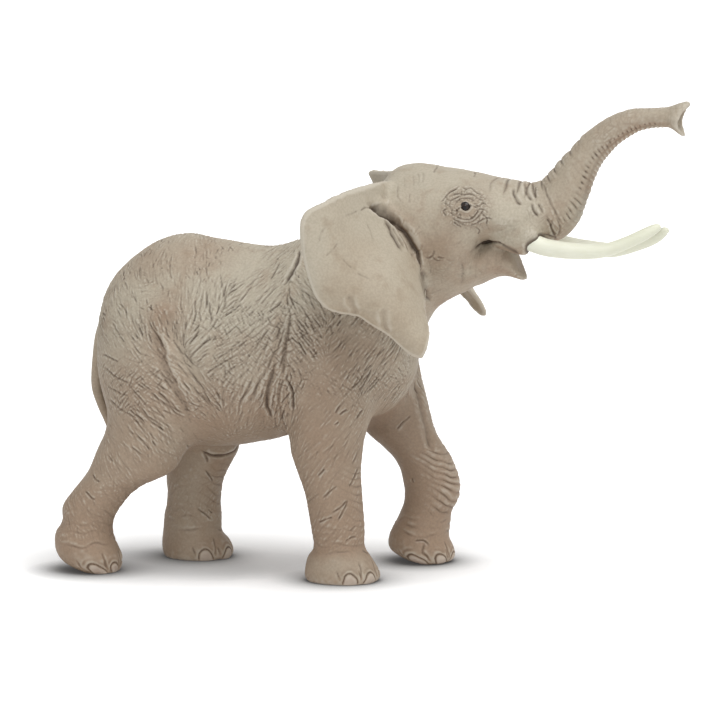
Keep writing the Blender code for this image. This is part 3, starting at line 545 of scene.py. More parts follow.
def mesh_object(name, points, faces):
    """A Blender object from points and faces, with all its faces turned outwards."""
    mesh = bpy.data.meshes.new(name)
    mesh.from_pydata(points, [], faces)
    turned = bmesh.new()
    turned.from_mesh(mesh)
    bmesh.ops.recalc_face_normals(turned, faces=turned.faces)
    turned.to_mesh(mesh)
    turned.free()
    return in_scene(name, mesh)


def arrays_of(thing):
    """Points and quads of an object with its modifiers applied, after which it is removed."""
    graph = bpy.context.evaluated_depsgraph_get()
    mesh = thing.evaluated_get(graph).to_mesh()
    points = np.empty(3 * len(mesh.vertices))
    mesh.vertices.foreach_get("co", points)
    corners = np.empty(len(mesh.loops), dtype=np.int32)
    mesh.loops.foreach_get("vertex_index", corners)
    totals = np.empty(len(mesh.polygons), dtype=np.int32)
    mesh.polygons.foreach_get("loop_total", totals)
    thing.evaluated_get(graph).to_mesh_clear()
    discard(thing)
    if (totals != 4).any():
        raise ValueError("the skin holds faces that are not quads")
    return points.reshape(-1, 3), corners.reshape(-1, 4)


def merged_skin(forms, pitch):
    """All forms as one skin, by Blender's voxel remesh at the pitch."""
    points = []
    faces = []
    start = 0
    for form_points, form_faces in forms:
        points.append(form_points)
        faces.extend([[corner + start for corner in face] for face in form_faces])
        start += len(form_points)
    thing = mesh_object("skin_form", np.concatenate(points), faces)
    remesh = thing.modifiers.new("skin", "REMESH")
    remesh.mode = "VOXEL"
    remesh.voxel_size = pitch
    remesh.adaptivity = 0
    bpy.context.view_layer.update()
    return arrays_of(thing)


def sides_of(quads):
    """The sides of quads as pairs of points: all first sides, then all second ones, and on."""
    return np.concatenate([quads[:, (k, (k + 1) % 4)] for k in range(4)])


def edges_of(quads):
    """Every edge once, as its two points."""
    return np.unique(np.sort(sides_of(quads), axis=1), axis=0)


def summed(where, values, count):
    """For each of count places, the sum of the vectors given to it."""
    return np.column_stack([np.bincount(where, values[:, k], count) for k in range(3)])


def subdivided(points, quads):
    """One Catmull-Clark level on a closed skin of quads.

    A face point is its corners' mean, an edge point the mean of its ends and its two face
    points, and a point moves to (Q + 2R + (n - 3)P) / n, with Q and R the means of the
    face points and of the edge middles round it.
    """
    count = len(points)
    pairs = np.sort(sides_of(quads).astype(np.int64), axis=1)
    keys, edge_of_side = np.unique(pairs[:, 0] * count + pairs[:, 1], return_inverse=True)
    edges = np.column_stack((keys // count, keys % count))
    faces = len(quads)
    sides = edge_of_side.reshape(4, faces)
    face_points = points[quads].mean(axis=1)
    edge_points = points[edges].sum(axis=1)
    middles = edge_points / 2
    around = np.bincount(quads.ravel(), minlength=count)[:, None]
    face_mean = sum(summed(quads[:, k], face_points, count) for k in range(4))
    middle_mean = sum(summed(edges[:, end], middles, count) for end in range(2))
    for side in sides:
        edge_points += summed(side, face_points, len(edges))
    moved = (face_mean / around + 2 * middle_mean / around + (around - 3) * points) / around
    finer = np.concatenate((moved, edge_points / 4, face_points))
    middle = count + len(edges) + np.arange(faces)
    made = [
        np.column_stack((quads[:, k], count + sides[k], middle, count + sides[(k + 3) % 4]))
        for k in range(4)
    ]
    return finer, np.concatenate(made)


def relaxed(points, edges, strength, rounds):
    """Moves each point part of the way to the mean of its neighbours, again and again."""
    count = len(points)
    both = np.concatenate((edges, edges[:, ::-1]))
    order = np.argsort(both[:, 0], kind="stable")
    owner = both[order, 0]
    other = both[order, 1]
    starts = np.searchsorted(owner, np.arange(count))
    number = np.diff(np.append(starts, len(owner)))[:, None]
    strength = np.broadcast_to(strength, (count,))[:, None]
    for _ in range(rounds):
        mean = np.add.reduceat(points[other], starts, axis=0) / number
        points = points + strength * (mean - points)
    return points


def distance_to(form, points):
    """Distance of each point to a form's skin: how far Blender's shrinkwrap would move it."""
    target = mesh_object("near_form", *form)
    mesh = bpy.data.meshes.new("far_points")
    mesh.from_pydata(points, [], [])
    thing = in_scene("far_points", mesh)
    wrap = thing.modifiers.new("wrap", "SHRINKWRAP")
    wrap.wrap_method = "NEAREST_SURFACEPOINT"
    wrap.target = target
    graph = bpy.context.evaluated_depsgraph_get()
    moved = np.empty(3 * len(points))
    thing.evaluated_get(graph).to_mesh().vertices.foreach_get("co", moved)
    thing.evaluated_get(graph).to_mesh_clear()
    discard(thing, target)
    return np.linalg.norm(moved.reshape(-1, 3) - points, axis=1)


def normals_of(points, quads):
    """The sum of the normals of the faces round each point, each weighted by its area."""
    across = np.cross(
        points[quads[:, 2]] - points[quads[:, 0]], points[quads[:, 3]] - points[quads[:, 1]]
    )
    total = sum(summed(quads[:, k], across, len(points)) for k in range(4))
    return total / np.maximum(np.linalg.norm(total, axis=1), 1e-9)[:, None]


def drawing(points):
    """Where points fall on the side drawing, in its steps, as across and down."""
    x = points[:, 0] - DRAWING_X
    y = points[:, 1]
    across = x * math.cos(DRAWING_TURN) + y * math.sin(DRAWING_TURN)
    depth = y * math.cos(DRAWING_TURN) - x * math.sin(DRAWING_TURN)
    up = points[:, 2] * math.cos(DRAWING_TILT) + depth * math.sin(DRAWING_TILT)
    return np.column_stack((DRAWING_ZERO[0] + across / STEP, DRAWING_ZERO[1] - up / STEP))


def hashed(cells, seed):
    """A number from 0 to 1 for each whole-number cell, by mixing its bits."""
    mixed = cells.astype(np.int64) * np.array((73856093, 19349663, 83492791))
    value = mixed[..., 0] ^ mixed[..., 1] ^ mixed[..., 2] ^ (seed * 2654435761)
    value = (value ^ (value >> 13)) * 1274126177 & 0x7FFFFFFF
    value = (value ^ (value >> 16)) * 668265263 & 0x7FFFFFFF
    return (value ^ (value >> 15)) / 0x7FFFFFFF


def noise(points, size, seed):
    """Value noise from -1 to 1: random numbers on a lattice of the size, joined smoothly."""
    place = points / size
    cell = np.floor(place)
    t = place - cell
    t = t * t * (3 - 2 * t)
    total = np.zeros(len(points))
    for corner in range(8):
        step = np.array((corner & 1, corner >> 1 & 1, corner >> 2 & 1))
        weight = np.prod(np.where(step, t, 1 - t), axis=1)
        total += weight * hashed(cell + step, seed)
    return total * 2 - 1


class Skin:
    """The merged skin with what is pressed into it.

    relief is how far each point moves out along its normal, crease how much dark wash
    settles there, and nail how far the finish is that of a nail.
    """

    def __init__(self, points, quads):
        self.points = points
        self.quads = quads
        self.normals = normals_of(points, quads)
        self.relief = np.zeros(len(points))
        self.crease = np.zeros(len(points))
        self.nail = np.zeros(len(points))
        mirrored = np.array((1, -1, 1))
        self.drawn = {-1: drawing(points), 1: drawing(points * mirrored)}
        view = np.array(DRAWING_BACK)
        self.facing = {-1: self.normals @ view, 1: (self.normals * mirrored) @ view}

    def wash(self, which, amount):
        """Lets dark wash gather up to the amount, where there is less."""
        self.crease[which] = np.maximum(self.crease[which], amount)

    def press(self, which, profile, depth, dark):
        """Sinks points by depth times profile and lets wash gather by dark times profile."""
        self.relief[which] -= depth * profile
        self.wash(which, dark * profile)

    def score(self, which, ways, share, size, length, width, turn, spread, seed, depth, dark):
        """Presses scattered short creases into points, by each point's share of them."""
        deep, wash = scored(self.points[which], *ways, size, length, width, turn, spread, seed)
        self.relief[which] -= depth * deep * share
        self.wash(which, dark * wash * share)

    def line(self, path, width, depth, dark=1.0, lip=(0.35, 0.35), sides=(-1, 1), where=None):
        """A crease along a path on the drawing, on one side or on both.

        Its section is a bell of the given width, and a lip of its own height stands on
        each side of it. It narrows to nothing at both ends, wanders a little, and is
        deeper here and there. Side 0 is the left legs' inside, as the drawing shows it.
        """
        path = spline(np.array(path, dtype=float), 8 * (len(path) - 1) + 1)
        for side in sides:
            flat = self.drawn[side or -1]
            reach = 4.5 * abs(width) / STEP
            low = path.min(axis=0) - reach
            high = path.max(axis=0) + reach
            inside = ((flat > low) & (flat < high)).all(axis=1)
            inside &= self.facing[side or -1] > 0.05
            inside &= self.points[:, 1] * (side or 1) > (-1 if side else 5)
            if where is not None:
                inside &= where
            which = np.flatnonzero(inside)
            if not len(which):
                continue
            place, offset = along_path(flat[which], path)
            taper = np.clip(np.sin(np.pi * np.clip(place, 0, 1)) * 2.2, 0, 1)
            points = self.points[which]
            uneven = 0.3 * (1 - smoothstep(0.45, 0.7, width))
            taper = taper * (1 - 0.73 * uneven + uneven * noise(points, 1.3, 15))
            wander = (0.12 + 0.22 * width) * noise(points, 1.9, 14)
            self.section(which, offset * STEP + wander, width, depth, dark, lip, taper)

    def section(self, which, offset, width, depth, dark, lip, taper):
        """Sinks a bell of the offset, and raises a lower and wider bell on each side of it."""
        self.press(which, bell(offset, width * (0.4 + 0.6 * taper)) * taper, depth, dark)
        for height, way in zip(lip, (-1, 1)):
            rise = bell(offset * way - 1.8 * width, 1.2 * width) * taper
            self.relief[which] += height * depth * rise


def along_path(flat, path):
    """For each point, its place along a path from 0 to 1 and its signed distance from it."""
    best = np.full(len(flat), np.inf)
    place = np.zeros(len(flat))
    offset = np.zeros(len(flat))
    steps = np.linalg.norm(np.diff(path, axis=0), axis=1)
    run = np.concatenate(([0], np.cumsum(steps)))
    for number, (start, end) in enumerate(zip(path[:-1], path[1:])):
        way = (end - start) / max(steps[number], 1e-9)
        arm = flat - start
        along = np.clip(arm @ way, 0, steps[number])
        away = arm - along[:, None] * way
        gap = (away**2).sum(axis=1)
        closer = gap < best
        best[closer] = gap[closer]
        place[closer] = (run[number] + along[closer]) / run[-1]
        turn = np.sign(way[0] * arm[:, 1] - way[1] * arm[:, 0])
        offset[closer] = (turn * np.sqrt(gap))[closer]
    return place, offset


def smooth_form():
    """The merged skin, melted together where its forms meet, and the forms it is told by."""
    body = body_form()
    legs = {name: leg_form(rows) for name, rows in LEGS.items()}
    ears = {side: ear_form(side) for side in (-1, 1)}
    jaw = loft(egg_rings(spline(JAW, 60), 48))
    lips = []
    for side, rows in ((-1, SHEATH), (1, SHEATH), (-1, SHEATH_TOP), (1, SHEATH_TOP)):
        line = spline(np.array(rows) * (1, side, 1, 1), 24)
        lips.append(loft(tube_rings(line, 32)))
    forms = [body, jaw, *legs.values(), *ears.values(), *lips]
    points, quads = merged_skin(forms, SKIN_PITCH)
    edges = edges_of(quads)
    to_body = distance_to(body, points)
    to_legs = np.min([distance_to(leg, points) for leg in legs.values()], axis=0)
    to_jaw = distance_to(jaw, points)
    to_ears = np.min([distance_to(ear, points) for ear in ears.values()], axis=0)
    to_lips = np.min([distance_to(lip, points) for lip in lips], axis=0)
    belly = 1 - smoothstep(3, 9, np.maximum(to_body, to_legs))
    points = relaxed(points, edges, 0.55 * belly, ROUNDS["belly"])
    throat = 1 - smoothstep(1, 4.5, np.maximum(to_body, to_jaw))
    throat *= 1 - smoothstep(113, 121, points[:, 0])
    points = relaxed(points, edges, 0.55 * throat, ROUNDS["throat"])
    for place, to_form in (("ears", to_ears), ("lips", to_lips)):
        close = 1 - smoothstep(0.5, 3, np.maximum(to_body, to_form))
        points = relaxed(points, edges, 0.5 * close, ROUNDS[place])
    chin = smoothstep(129, 132, points[:, 0]) * (1 - smoothstep(102, 105, points[:, 2]))
    points = relaxed(points, edges, 0.5 * chin, ROUNDS["chin"])
    points = relaxed(points, edges, 0.5, ROUNDS["all over"])
    points, quads = subdivided(points, quads)
    points = relaxed(points, edges_of(quads), 0.5, 2)
    points[:, 2] = np.maximum(points[:, 2], 0.0)
    return points, quads, ears, jaw


def piece_of_faces(points, quads, ears, jaw):
    """The CAD node that each face stands for, told by where its middle lies."""
    middles = points[quads].mean(axis=1)
    names = np.full(len(middles), "head", dtype="<U20")
    seam_x, seam_z, tilt = NECK_SEAM
    ahead = (middles[:, 0] - seam_x) * math.cos(tilt) + (middles[:, 2] - seam_z) * math.sin(tilt)
    behind = ahead < 0
    right = middles[:, 1] < 0
    names[behind & right] = "torso_right_shell"
    names[behind & ~right] = "torso_left_shell"
    low = middles[:, 2] < LEG_SEAM
    gaps = []
    for name in LEGS:
        x, y, _ = leg_at(name, middles[low, 2])
        gaps.append((middles[low, 0] - x) ** 2 + (middles[low, 1] - y) ** 2)
    names[low] = np.array(list(LEGS))[np.argmin(gaps, axis=0)]
    high = np.flatnonzero(~low)
    for side, name in ((-1, "ear_right"), (1, "ear_left")):
        near = high[(middles[high, 0] > 70) & (middles[high, 1] * side > 12)]
        near = near[middles[near, 2] > 70]
        on_ear = distance_to(ears[side], middles[near]) < OWN_SKIN
        names[near[on_ear & (ear_root_depth(middles[near], side) > EAR_START)]] = name
    front = high[(middles[high, 0] > 112) & (middles[high, 2] < 110)]
    to_jaw = distance_to(jaw, middles[front])
    mouth = np.interp(middles[front, 0], MOUTH[:, 0], MOUTH[:, 1])
    names[front[(to_jaw < OWN_SKIN) & (middles[front, 2] < mouth)]] = "lower_jaw"
    return joined_up(names, middles, quads)


def neighbours_of(quads):
    """The face on the other side of each of a face's four sides."""
    count = len(quads)
    sides = np.stack([np.sort(quads[:, (k, (k + 1) % 4)], axis=1) for k in range(4)], axis=1)
    sides = sides.reshape(-1, 2).astype(np.int64)
    order = np.argsort(sides[:, 0] * (quads.max() + 1) + sides[:, 1], kind="stable")
    pairs = order.reshape(-1, 2)
    other = np.empty(4 * count, dtype=np.int64)
    other[pairs[:, 0]] = pairs[:, 1] // 4
    other[pairs[:, 1]] = pairs[:, 0] // 4
    return other.reshape(count, 4)


def joined_up(names, middles, quads):
    """Evens out ragged seams by a vote among neighbours, then leaves each name to the one
    connected patch round its most central face, and gives islands to what is beside them."""
    beside = neighbours_of(quads)
    kinds, label = np.unique(names, return_inverse=True)
    for _ in range(6):
        votes = np.zeros((len(label), len(kinds)), dtype=np.float32)
        votes[np.arange(len(label)), label] = 1.5
        for k in range(4):
            votes[np.arange(len(label)), label[beside[:, k]]] += 1
        label = votes.argmax(axis=1)
    reached = np.zeros(len(label), dtype=bool)
    for kind in range(len(kinds)):
        own = np.flatnonzero(label == kind)
        gaps = ((middles[own] - middles[own].mean(axis=0)) ** 2).sum(axis=1)
        edge = own[[np.argmin(gaps)]]
        while len(edge):
            reached[edge] = True
            edge = np.unique(beside[edge])
            edge = edge[(label[edge] == kind) & ~reached[edge]]
    while not reached.all():
        lost = np.flatnonzero(~reached)
        for k in range(4):
            found = lost[reached[beside[lost, k]] & ~reached[lost]]
            label[found] = label[beside[found, k]]
            reached[found] = True
    return kinds[label]


def ear_root_depth(points, side):
    """How far out from the ear's root line points lie, along its outward direction."""
    root = even_edge(EAR_ROOT, side, 30)
    out = even_edge(EAR_REAR[side], side, 30) - root
    out /= np.linalg.norm(out, axis=1)[:, None]
    gaps = ((points[:, None] - root[None]) ** 2).sum(axis=2)
    nearest = np.argmin(gaps, axis=1)
    return ((points - root[nearest]) * out[nearest]).sum(axis=1)


def closed_piece(points, normals, quads, attributes):
    """One piece's own points and faces. Each open seam gets a wall against its normals, and
    a fan from the wall's foot to that foot's mean, drawn in towards the figure's middle."""
    used, quads = np.unique(quads, return_inverse=True)
    quads = quads.reshape(-1, 4)
    made = points[used]
    ways = normals[used]
    values = {name: value[used] for name, value in attributes.items()}
    faces = quads.tolist()
    sides = sides_of(quads).astype(np.int64)
    keys = sides[:, 0] * len(made) + sides[:, 1]
    back = sides[:, 1] * len(made) + sides[:, 0]
    for loop in chained(sides[~np.isin(keys, back)]):
        foot = made[loop] - ways[loop] * SEAM_WALL
        below = len(made) + np.arange(len(loop))
        middle = np.full(len(loop), below[-1] + 1)
        made = np.concatenate((made, foot, [foot.mean(axis=0) * INWARDS]))
        ways = np.concatenate((ways, ways[loop], [[0, 0, 1]]))
        values = {
            name: np.append(value, np.zeros(len(loop) + 1)) for name, value in values.items()
        }
        after = np.roll(loop, -1)
        below_after = np.roll(below, -1)
        faces.extend(np.column_stack((after, loop, below, below_after)).tolist())
        faces.extend(np.column_stack((below_after, below, middle)).tolist())
    return made, ways, faces, values


def chained(sides):
    """Open sides put end to end into loops of point numbers."""
    after = {}
    for start, end in sides.tolist():
        after.setdefault(start, []).append(end)
    loops = []
    while after:
        start = next(iter(after))
        loop = [start]
        here = after[start].pop()
        if not after[start]:
            del after[start]
        while here != start:
            loop.append(here)
            following = after[here].pop()
            if not after[here]:
                del after[here]
            here = following
        loops.append(np.array(loop))
    return loops


# Angle of the skin's creases from the vertical, leaning forwards, at places on the
# side drawing: across, down, degrees.
GRAIN = np.array(
    (
        (110, 250, -25),
        (105, 330, -48),
        (130, 240, -12),
        (125, 290, -28),
        (150, 300, -20),
        (170, 240, 3),
        (200, 250, 2),
        (215, 300, 4),
        (150, 380, -52),
        (120, 420, -50),
        (190, 400, -38),
        (240, 250, 14),
        (232, 310, 50),
        (225, 350, 56),
        (262, 290, 40),
        (270, 340, 34),
        (255, 400, 22),
        (310, 300, -42),
        (305, 345, -40),
        (345, 340, 40),
        (340, 400, 42),
        (330, 470, 36),
        (340, 540, 40),
        (100, 470, -25),
        (150, 470, -30),
        (220, 480, -45),
        (425, 430, 30),
        (430, 480, 60),
        (450, 300, 45),
        (480, 200, 80),
        (420, 190, 4),
        (560, 200, 60),
    ),
    dtype=float,
)

# Where creases lie thicker or thinner than elsewhere, on the drawing: across, down, its two
# reaches, lean in degrees and amount.
GRAIN_PLACES = (
    (245, 350, 46, 40, 0, 0.55),
    (205, 335, 26, 26, 0, 0.20),
    (132, 280, 34, 40, 0, -0.45),
    (215, 282, 30, 26, 0, -0.35),
    (170, 270, 30, 30, 0, -0.25),
    (300, 330, 24, 40, 0, 0.30),
    (260, 262, 40, 14, 0, -0.30),
    (225, 426, 60, 14, 0, -0.50),
)

# Gentle swellings and hollows of both sides, on the drawing: across, down, its two
# reaches, lean in degrees and height.
FORMS = (
    (165, 312, 12, 8, 0, 0.8),
    (136, 372, 20, 40, -18, 0.9),
    (184, 356, 8, 40, -26, -1.1),
    (222, 318, 34, 24, 0, -0.5),
    (235, 385, 26, 30, 0, 0.5),
    (314, 345, 20, 44, 2, 0.9),
    (278, 338, 6, 36, 8, -0.9),
    (303, 398, 9, 18, -6, 0.7),
    (280, 424, 7, 12, -10, 0.6),
    (344, 330, 14, 20, 0, -0.5),
    (264, 405, 5, 18, 8, -0.5),
    (465, 190, 19, 5, 10, 0.55),
    (466, 221, 15, 4, -6, 0.35),
    (432, 226, 16, 22, 0, -0.7),
    (452, 262, 14, 15, 0, 0.5),
    (500, 224, 22, 6, -22, 0.45),
    (488, 236, 12, 4, -8, 0.45),
    (414, 190, 10, 16, 0, -0.4),
    (388, 203, 10, 5, -20, 0.8),
    (505, 264, 9, 9, 0, 0.3),
    (481, 268, 5, 14, 8, -0.35),
    (548, 226, 5, 9, 0, -0.4),
    (344, 262, 22, 34, 20, -0.4),
    (382, 300, 22, 30, 20, 0.35),
)

# Creases and folds on both sides of the body, on the drawing: width and depth in
# millimetres, amount of wash, heights of its two lips as shares of the depth, path.
BODY_FOLDS = (
    (
        *(1.3, 0.55, 0.25, (0.5, 0.1)),
        ((150, 322), (157, 343), (165, 368), (173, 385), (183, 402), (193, 426)),
    ),
    (0.5, 0.40, 0.45, (0.3, 0.2), ((152, 326), (158, 338), (163, 348), (166, 360))),
    (0.4, 0.30, 0.40, (0.3, 0.2), ((160, 352), (168, 366), (174, 378), (180, 392))),
    (0.35, 0.25, 0.35, (0.3, 0.2), ((158, 366), (168, 384), (178, 398))),
    (0.55, 0.75, 0.95, (0.7, 0.3), ((300, 249), (297, 262), (291, 274), (285, 283))),
    (0.35, 0.30, 0.60, (0.4, 0.3), ((280, 262), (274, 273), (269, 281))),
    (0.40, 0.35, 0.60, (0.4, 0.3), ((290, 286), (287, 297), (288, 306))),
    (0.8, 0.6, 0.45, (0.1, 0.6), ((291, 312), (287, 335), (284, 352), (283, 376))),
    (0.45, 0.75, 0.90, (0.2, 0.8), ((286, 378), (291, 386), (293.5, 397), (294, 411))),
    (0.9, 0.6, 0.45, (0.3, 0.5), ((276, 368), (270, 382), (267, 398), (269, 416))),
    (0.45, 0.45, 0.75, (0.4, 0.4), ((267, 394), (268, 408), (273, 419))),
    (0.5, 0.35, 0.45, (0.4, 0.4), ((262, 372), (256, 388), (248, 404))),
    (0.45, 0.35, 0.45, (0.4, 0.4), ((252, 380), (246, 392), (240, 402))),
    (0.45, 0.35, 0.40, (0.4, 0.4), ((276, 350), (270, 362), (262, 380))),
    (0.45, 0.30, 0.35, (0.4, 0.4), ((270, 340), (260, 356), (252, 366))),
    (0.5, 0.35, 0.40, (0.4, 0.4), ((283, 378), (279, 394), (281, 412), (287, 432))),
    (0.4, 0.3, 0.35, (0.3, 0.3), ((296, 300), (288, 312), (280, 330))),
    (0.3, 0.25, 0.45, (0.3, 0.3), ((276, 316), (262, 330), (240, 345), (214, 356))),
    (0.3, 0.20, 0.40, (0.3, 0.3), ((262, 316), (250, 326), (238, 334))),
    (0.28, 0.20, 0.40, (0.3, 0.3), ((296, 318), (306, 330), (314, 344))),
    (0.28, 0.20, 0.40, (0.3, 0.3), ((292, 340), (300, 352), (309, 362))),
    (0.28, 0.25, 0.55, (0.3, 0.3), ((171, 262), (170, 272), (172, 280))),
    (0.28, 0.25, 0.50, (0.3, 0.3), ((195, 244), (196, 254), (194, 260))),
    (0.28, 0.25, 0.50, (0.3, 0.3), ((220, 272), (223, 290), (226, 304))),
    (0.28, 0.20, 0.45, (0.3, 0.3), ((207, 248), (206, 262), (208, 280))),
    (0.25, 0.20, 0.40, (0.3, 0.3), ((182, 290), (181, 306), (184, 318))),
)
# Creases round the rump, in the same columns.
RUMP_FOLDS = (
    (0.30, 0.30, 0.65, (0.4, 0.4), ((102, 354), (112, 358), (120, 362))),
    (0.30, 0.28, 0.55, (0.4, 0.4), ((104, 366), (116, 376), (132, 384))),
    (0.30, 0.25, 0.55, (0.4, 0.4), ((106, 384), (118, 392), (130, 396))),
    (0.30, 0.25, 0.50, (0.4, 0.4), ((108, 398), (122, 410), (138, 418))),
    (0.35, 0.35, 0.70, (0.4, 0.4), ((138, 408), (150, 420), (166, 432))),
    (0.30, 0.30, 0.60, (0.4, 0.4), ((128, 408), (138, 416), (146, 424))),
    (0.28, 0.25, 0.60, (0.3, 0.3), ((140, 266), (139, 274), (141, 280))),
    (0.28, 0.25, 0.60, (0.3, 0.3), ((118, 302), (125, 310), (127, 320))),
    (0.28, 0.22, 0.50, (0.3, 0.3), ((112, 322), (120, 336), (126, 344))),
    (0.28, 0.22, 0.50, (0.3, 0.3), ((134, 318), (139, 330), (143, 336))),
)
# Dark nicks on the outside of the legs of both sides, as paths on the drawing.
LEG_MARKS = (
    ((349, 488), (354, 478), (359, 467)),
    ((322.5, 499), (329, 492), (337, 485.5)),
    ((318, 477), (322, 472), (325, 468)),
    ((331, 514), (339, 508), (347.5, 500)),
    ((318, 522), (326, 519), (333, 517)),
    ((337.5, 521), (343, 511), (348.5, 498.5)),
    ((350, 531), (353, 528), (356, 525)),
    ((345.5, 541), (351, 538), (357, 537)),
    ((335, 414), (339, 407), (345, 400.5)),
    ((339, 415), (343, 412), (348, 409.5)),
    ((356, 420.5), (359, 415), (363, 409)),
    ((334, 425), (337, 423), (339, 422)),
    ((143, 442), (148, 447), (150, 451)),
    ((152, 440), (157, 447)),
    ((93, 474), (96, 479), (100, 482)),
    ((85, 490), (91, 497), (96, 500)),
    ((108, 455), (113, 462)),
)
# Folds and nicks on the inside of the left legs, which the drawing shows between the right
# ones, in the same columns.
FAR_FOLDS = (
    (1.0, 0.55, 0.40, (0.5, 0.5), ((413, 380), (418, 395), (423, 415), (428, 436), (433, 454))),
    (0.7, 0.45, 0.50, (0.2, 0.2), ((372, 414), (384, 406), (398, 402))),
    (0.45, 0.60, 0.85, (0.7, 0.1), ((200, 450), (209, 454.5), (223, 455.5), (233, 451), (240, 443))),
    (0.9, -0.45, 0.0, (0.2, 0.2), ((205, 448), (215, 450), (226, 449), (235, 445))),
    (0.35, 0.40, 0.60, (0.3, 0.3), ((203, 452), (206, 457), (208, 463))),
)
FAR_MARKS = (
    ((196, 508), (203, 512), (212, 520)),
    ((208, 509), (213, 513)),
    ((396, 430), (404, 422), (412, 415)),
    ((412, 478), (414, 483)),
    ((414, 541), (421, 540), (425, 541), (429, 546)),
    ((205, 470), (210, 476), (213, 482)),
)


def grain_angle(flat):
    """The creases' angle at places on the drawing: each known place weighs the inverse of
    its distance to the fourth power, and doubled angles are averaged as directions."""
    gaps = ((flat[:, None] - GRAIN[None, :, :2]) ** 2).sum(axis=2) + 60
    weights = gaps**-2
    double = np.radians(GRAIN[:, 2]) * 2
    return np.arctan2(weights @ np.sin(double), weights @ np.cos(double)) / 2


def grain_ways(skin, which):
    """Two directions in the surface at each point: along its creases and across them.

    Upwards in the surface is the way round the body plus the way up it; forwards is
    square to that. The creases lean from the one to the other by the grain's angle.
    """
    normals = skin.normals[which]
    side = np.where(skin.points[which, 1] < 0, -1, 1)[:, None]
    upward = side * np.cross((1.0, 0.0, 0.0), normals) + (0, 0, 1) - normals * normals[:, 2:]
    upward /= np.maximum(np.linalg.norm(upward, axis=1), 1e-6)[:, None]
    forward = side * np.cross(normals, upward)
    flat = np.where(side < 0, skin.drawn[-1][which], skin.drawn[1][which])
    angle = np.concatenate([grain_angle(part) for part in np.array_split(flat, 40)])[:, None]
    along = upward * np.cos(angle) + forward * np.sin(angle)
    return along, np.cross(normals, along)


def scored(points, along_way, across_way, size, length, width, turn, spread, seed):
    """Short creases scattered over the skin: how deep and how high its lips are.

    Each cell of a lattice of the given size holds one crease, with its own place, turn,
    length and strength. A point adds up those of the 27 cells round it. Each is a bell of
    the distance across the crease times 1 - t^4, where t is the place along it.
    """
    low = np.floor(points.min(axis=0) / size).astype(int) - 1
    shape = np.floor(points.max(axis=0) / size).astype(int) + 2 - low
    rng = np.random.default_rng(seed)
    count = int(np.prod(shape))
    middles = rng.random((count, 3))
    turns = turn + rng.normal(0, spread, count)
    halves = length * rng.uniform(0.25, 0.75, count)
    strengths = rng.random(count) ** 2.2
    cell = np.floor(points / size).astype(int) - low
    deep = np.zeros(len(points))
    dark = np.zeros(len(points))
    for step in np.ndindex(3, 3, 3):
        there = cell + np.array(step) - 1
        number = np.ravel_multi_index(tuple(there.T), shape)
        arm = points - (there + low + middles[number]) * size
        one = (arm * along_way).sum(axis=1)
        other = (arm * across_way).sum(axis=1)
        cosine = np.cos(turns[number])
        sine = np.sin(turns[number])
        place = (one * cosine + other * sine) / halves[number]
        offset = (other * cosine - one * sine) / width
        taper = np.clip(1 - place**4, 0, 1) * strengths[number]
        sunk = bell(offset, 1.0) * taper
        lip = bell(np.abs(offset) - 2.0, 1.0) * taper
        deep += sunk - 0.3 * lip
        np.maximum(dark, sunk, out=dark)
    return deep, dark


def placed(skin, rows):
    """The sum of bells on the drawing, each over its own two reaches and lean. The two
    sides melt into each other over the middle of the back."""
    right = smoothstep(-2, 2, -skin.points[:, 1])
    total = np.zeros(len(right))
    for side, share in ((-1, right), (1, 1 - right)):
        for across, down, wide, tall, lean, amount in rows:
            arm = skin.drawn[side] - (across, down)
            cosine = math.cos(math.radians(lean))
            sine = math.sin(math.radians(lean))
            one = (arm[:, 0] * cosine + arm[:, 1] * sine) / wide
            other = (arm[:, 1] * cosine - arm[:, 0] * sine) / tall
            total += amount * np.exp(-(one**2) - other**2) * share
    return total


def carve_forms(skin):
    """The swellings and hollows, on what faces the drawing's eye."""
    facing = np.where(skin.points[:, 1] < 0, skin.facing[-1], skin.facing[1])
    skin.relief += placed(skin, FORMS) * smoothstep(0.0, 0.3, facing)


def carve_folds(skin, body_skin):
    """The body's folds, and the nicks on its legs, each a crease along its own path."""
    for width, depth, dark, lip, path in (*BODY_FOLDS, *RUMP_FOLDS):
        skin.line(path, width, depth, dark, lip, where=body_skin)
    for path in LEG_MARKS:
        skin.line(path, 0.27, 0.30, 0.80, where=body_skin)
    for width, depth, dark, lip, path in FAR_FOLDS:
        skin.line(path, width, depth, dark, lip, sides=(0,), where=body_skin)
    for path in FAR_MARKS:
        skin.line(path, 0.27, 0.30, 0.70, sides=(0,), where=body_skin)


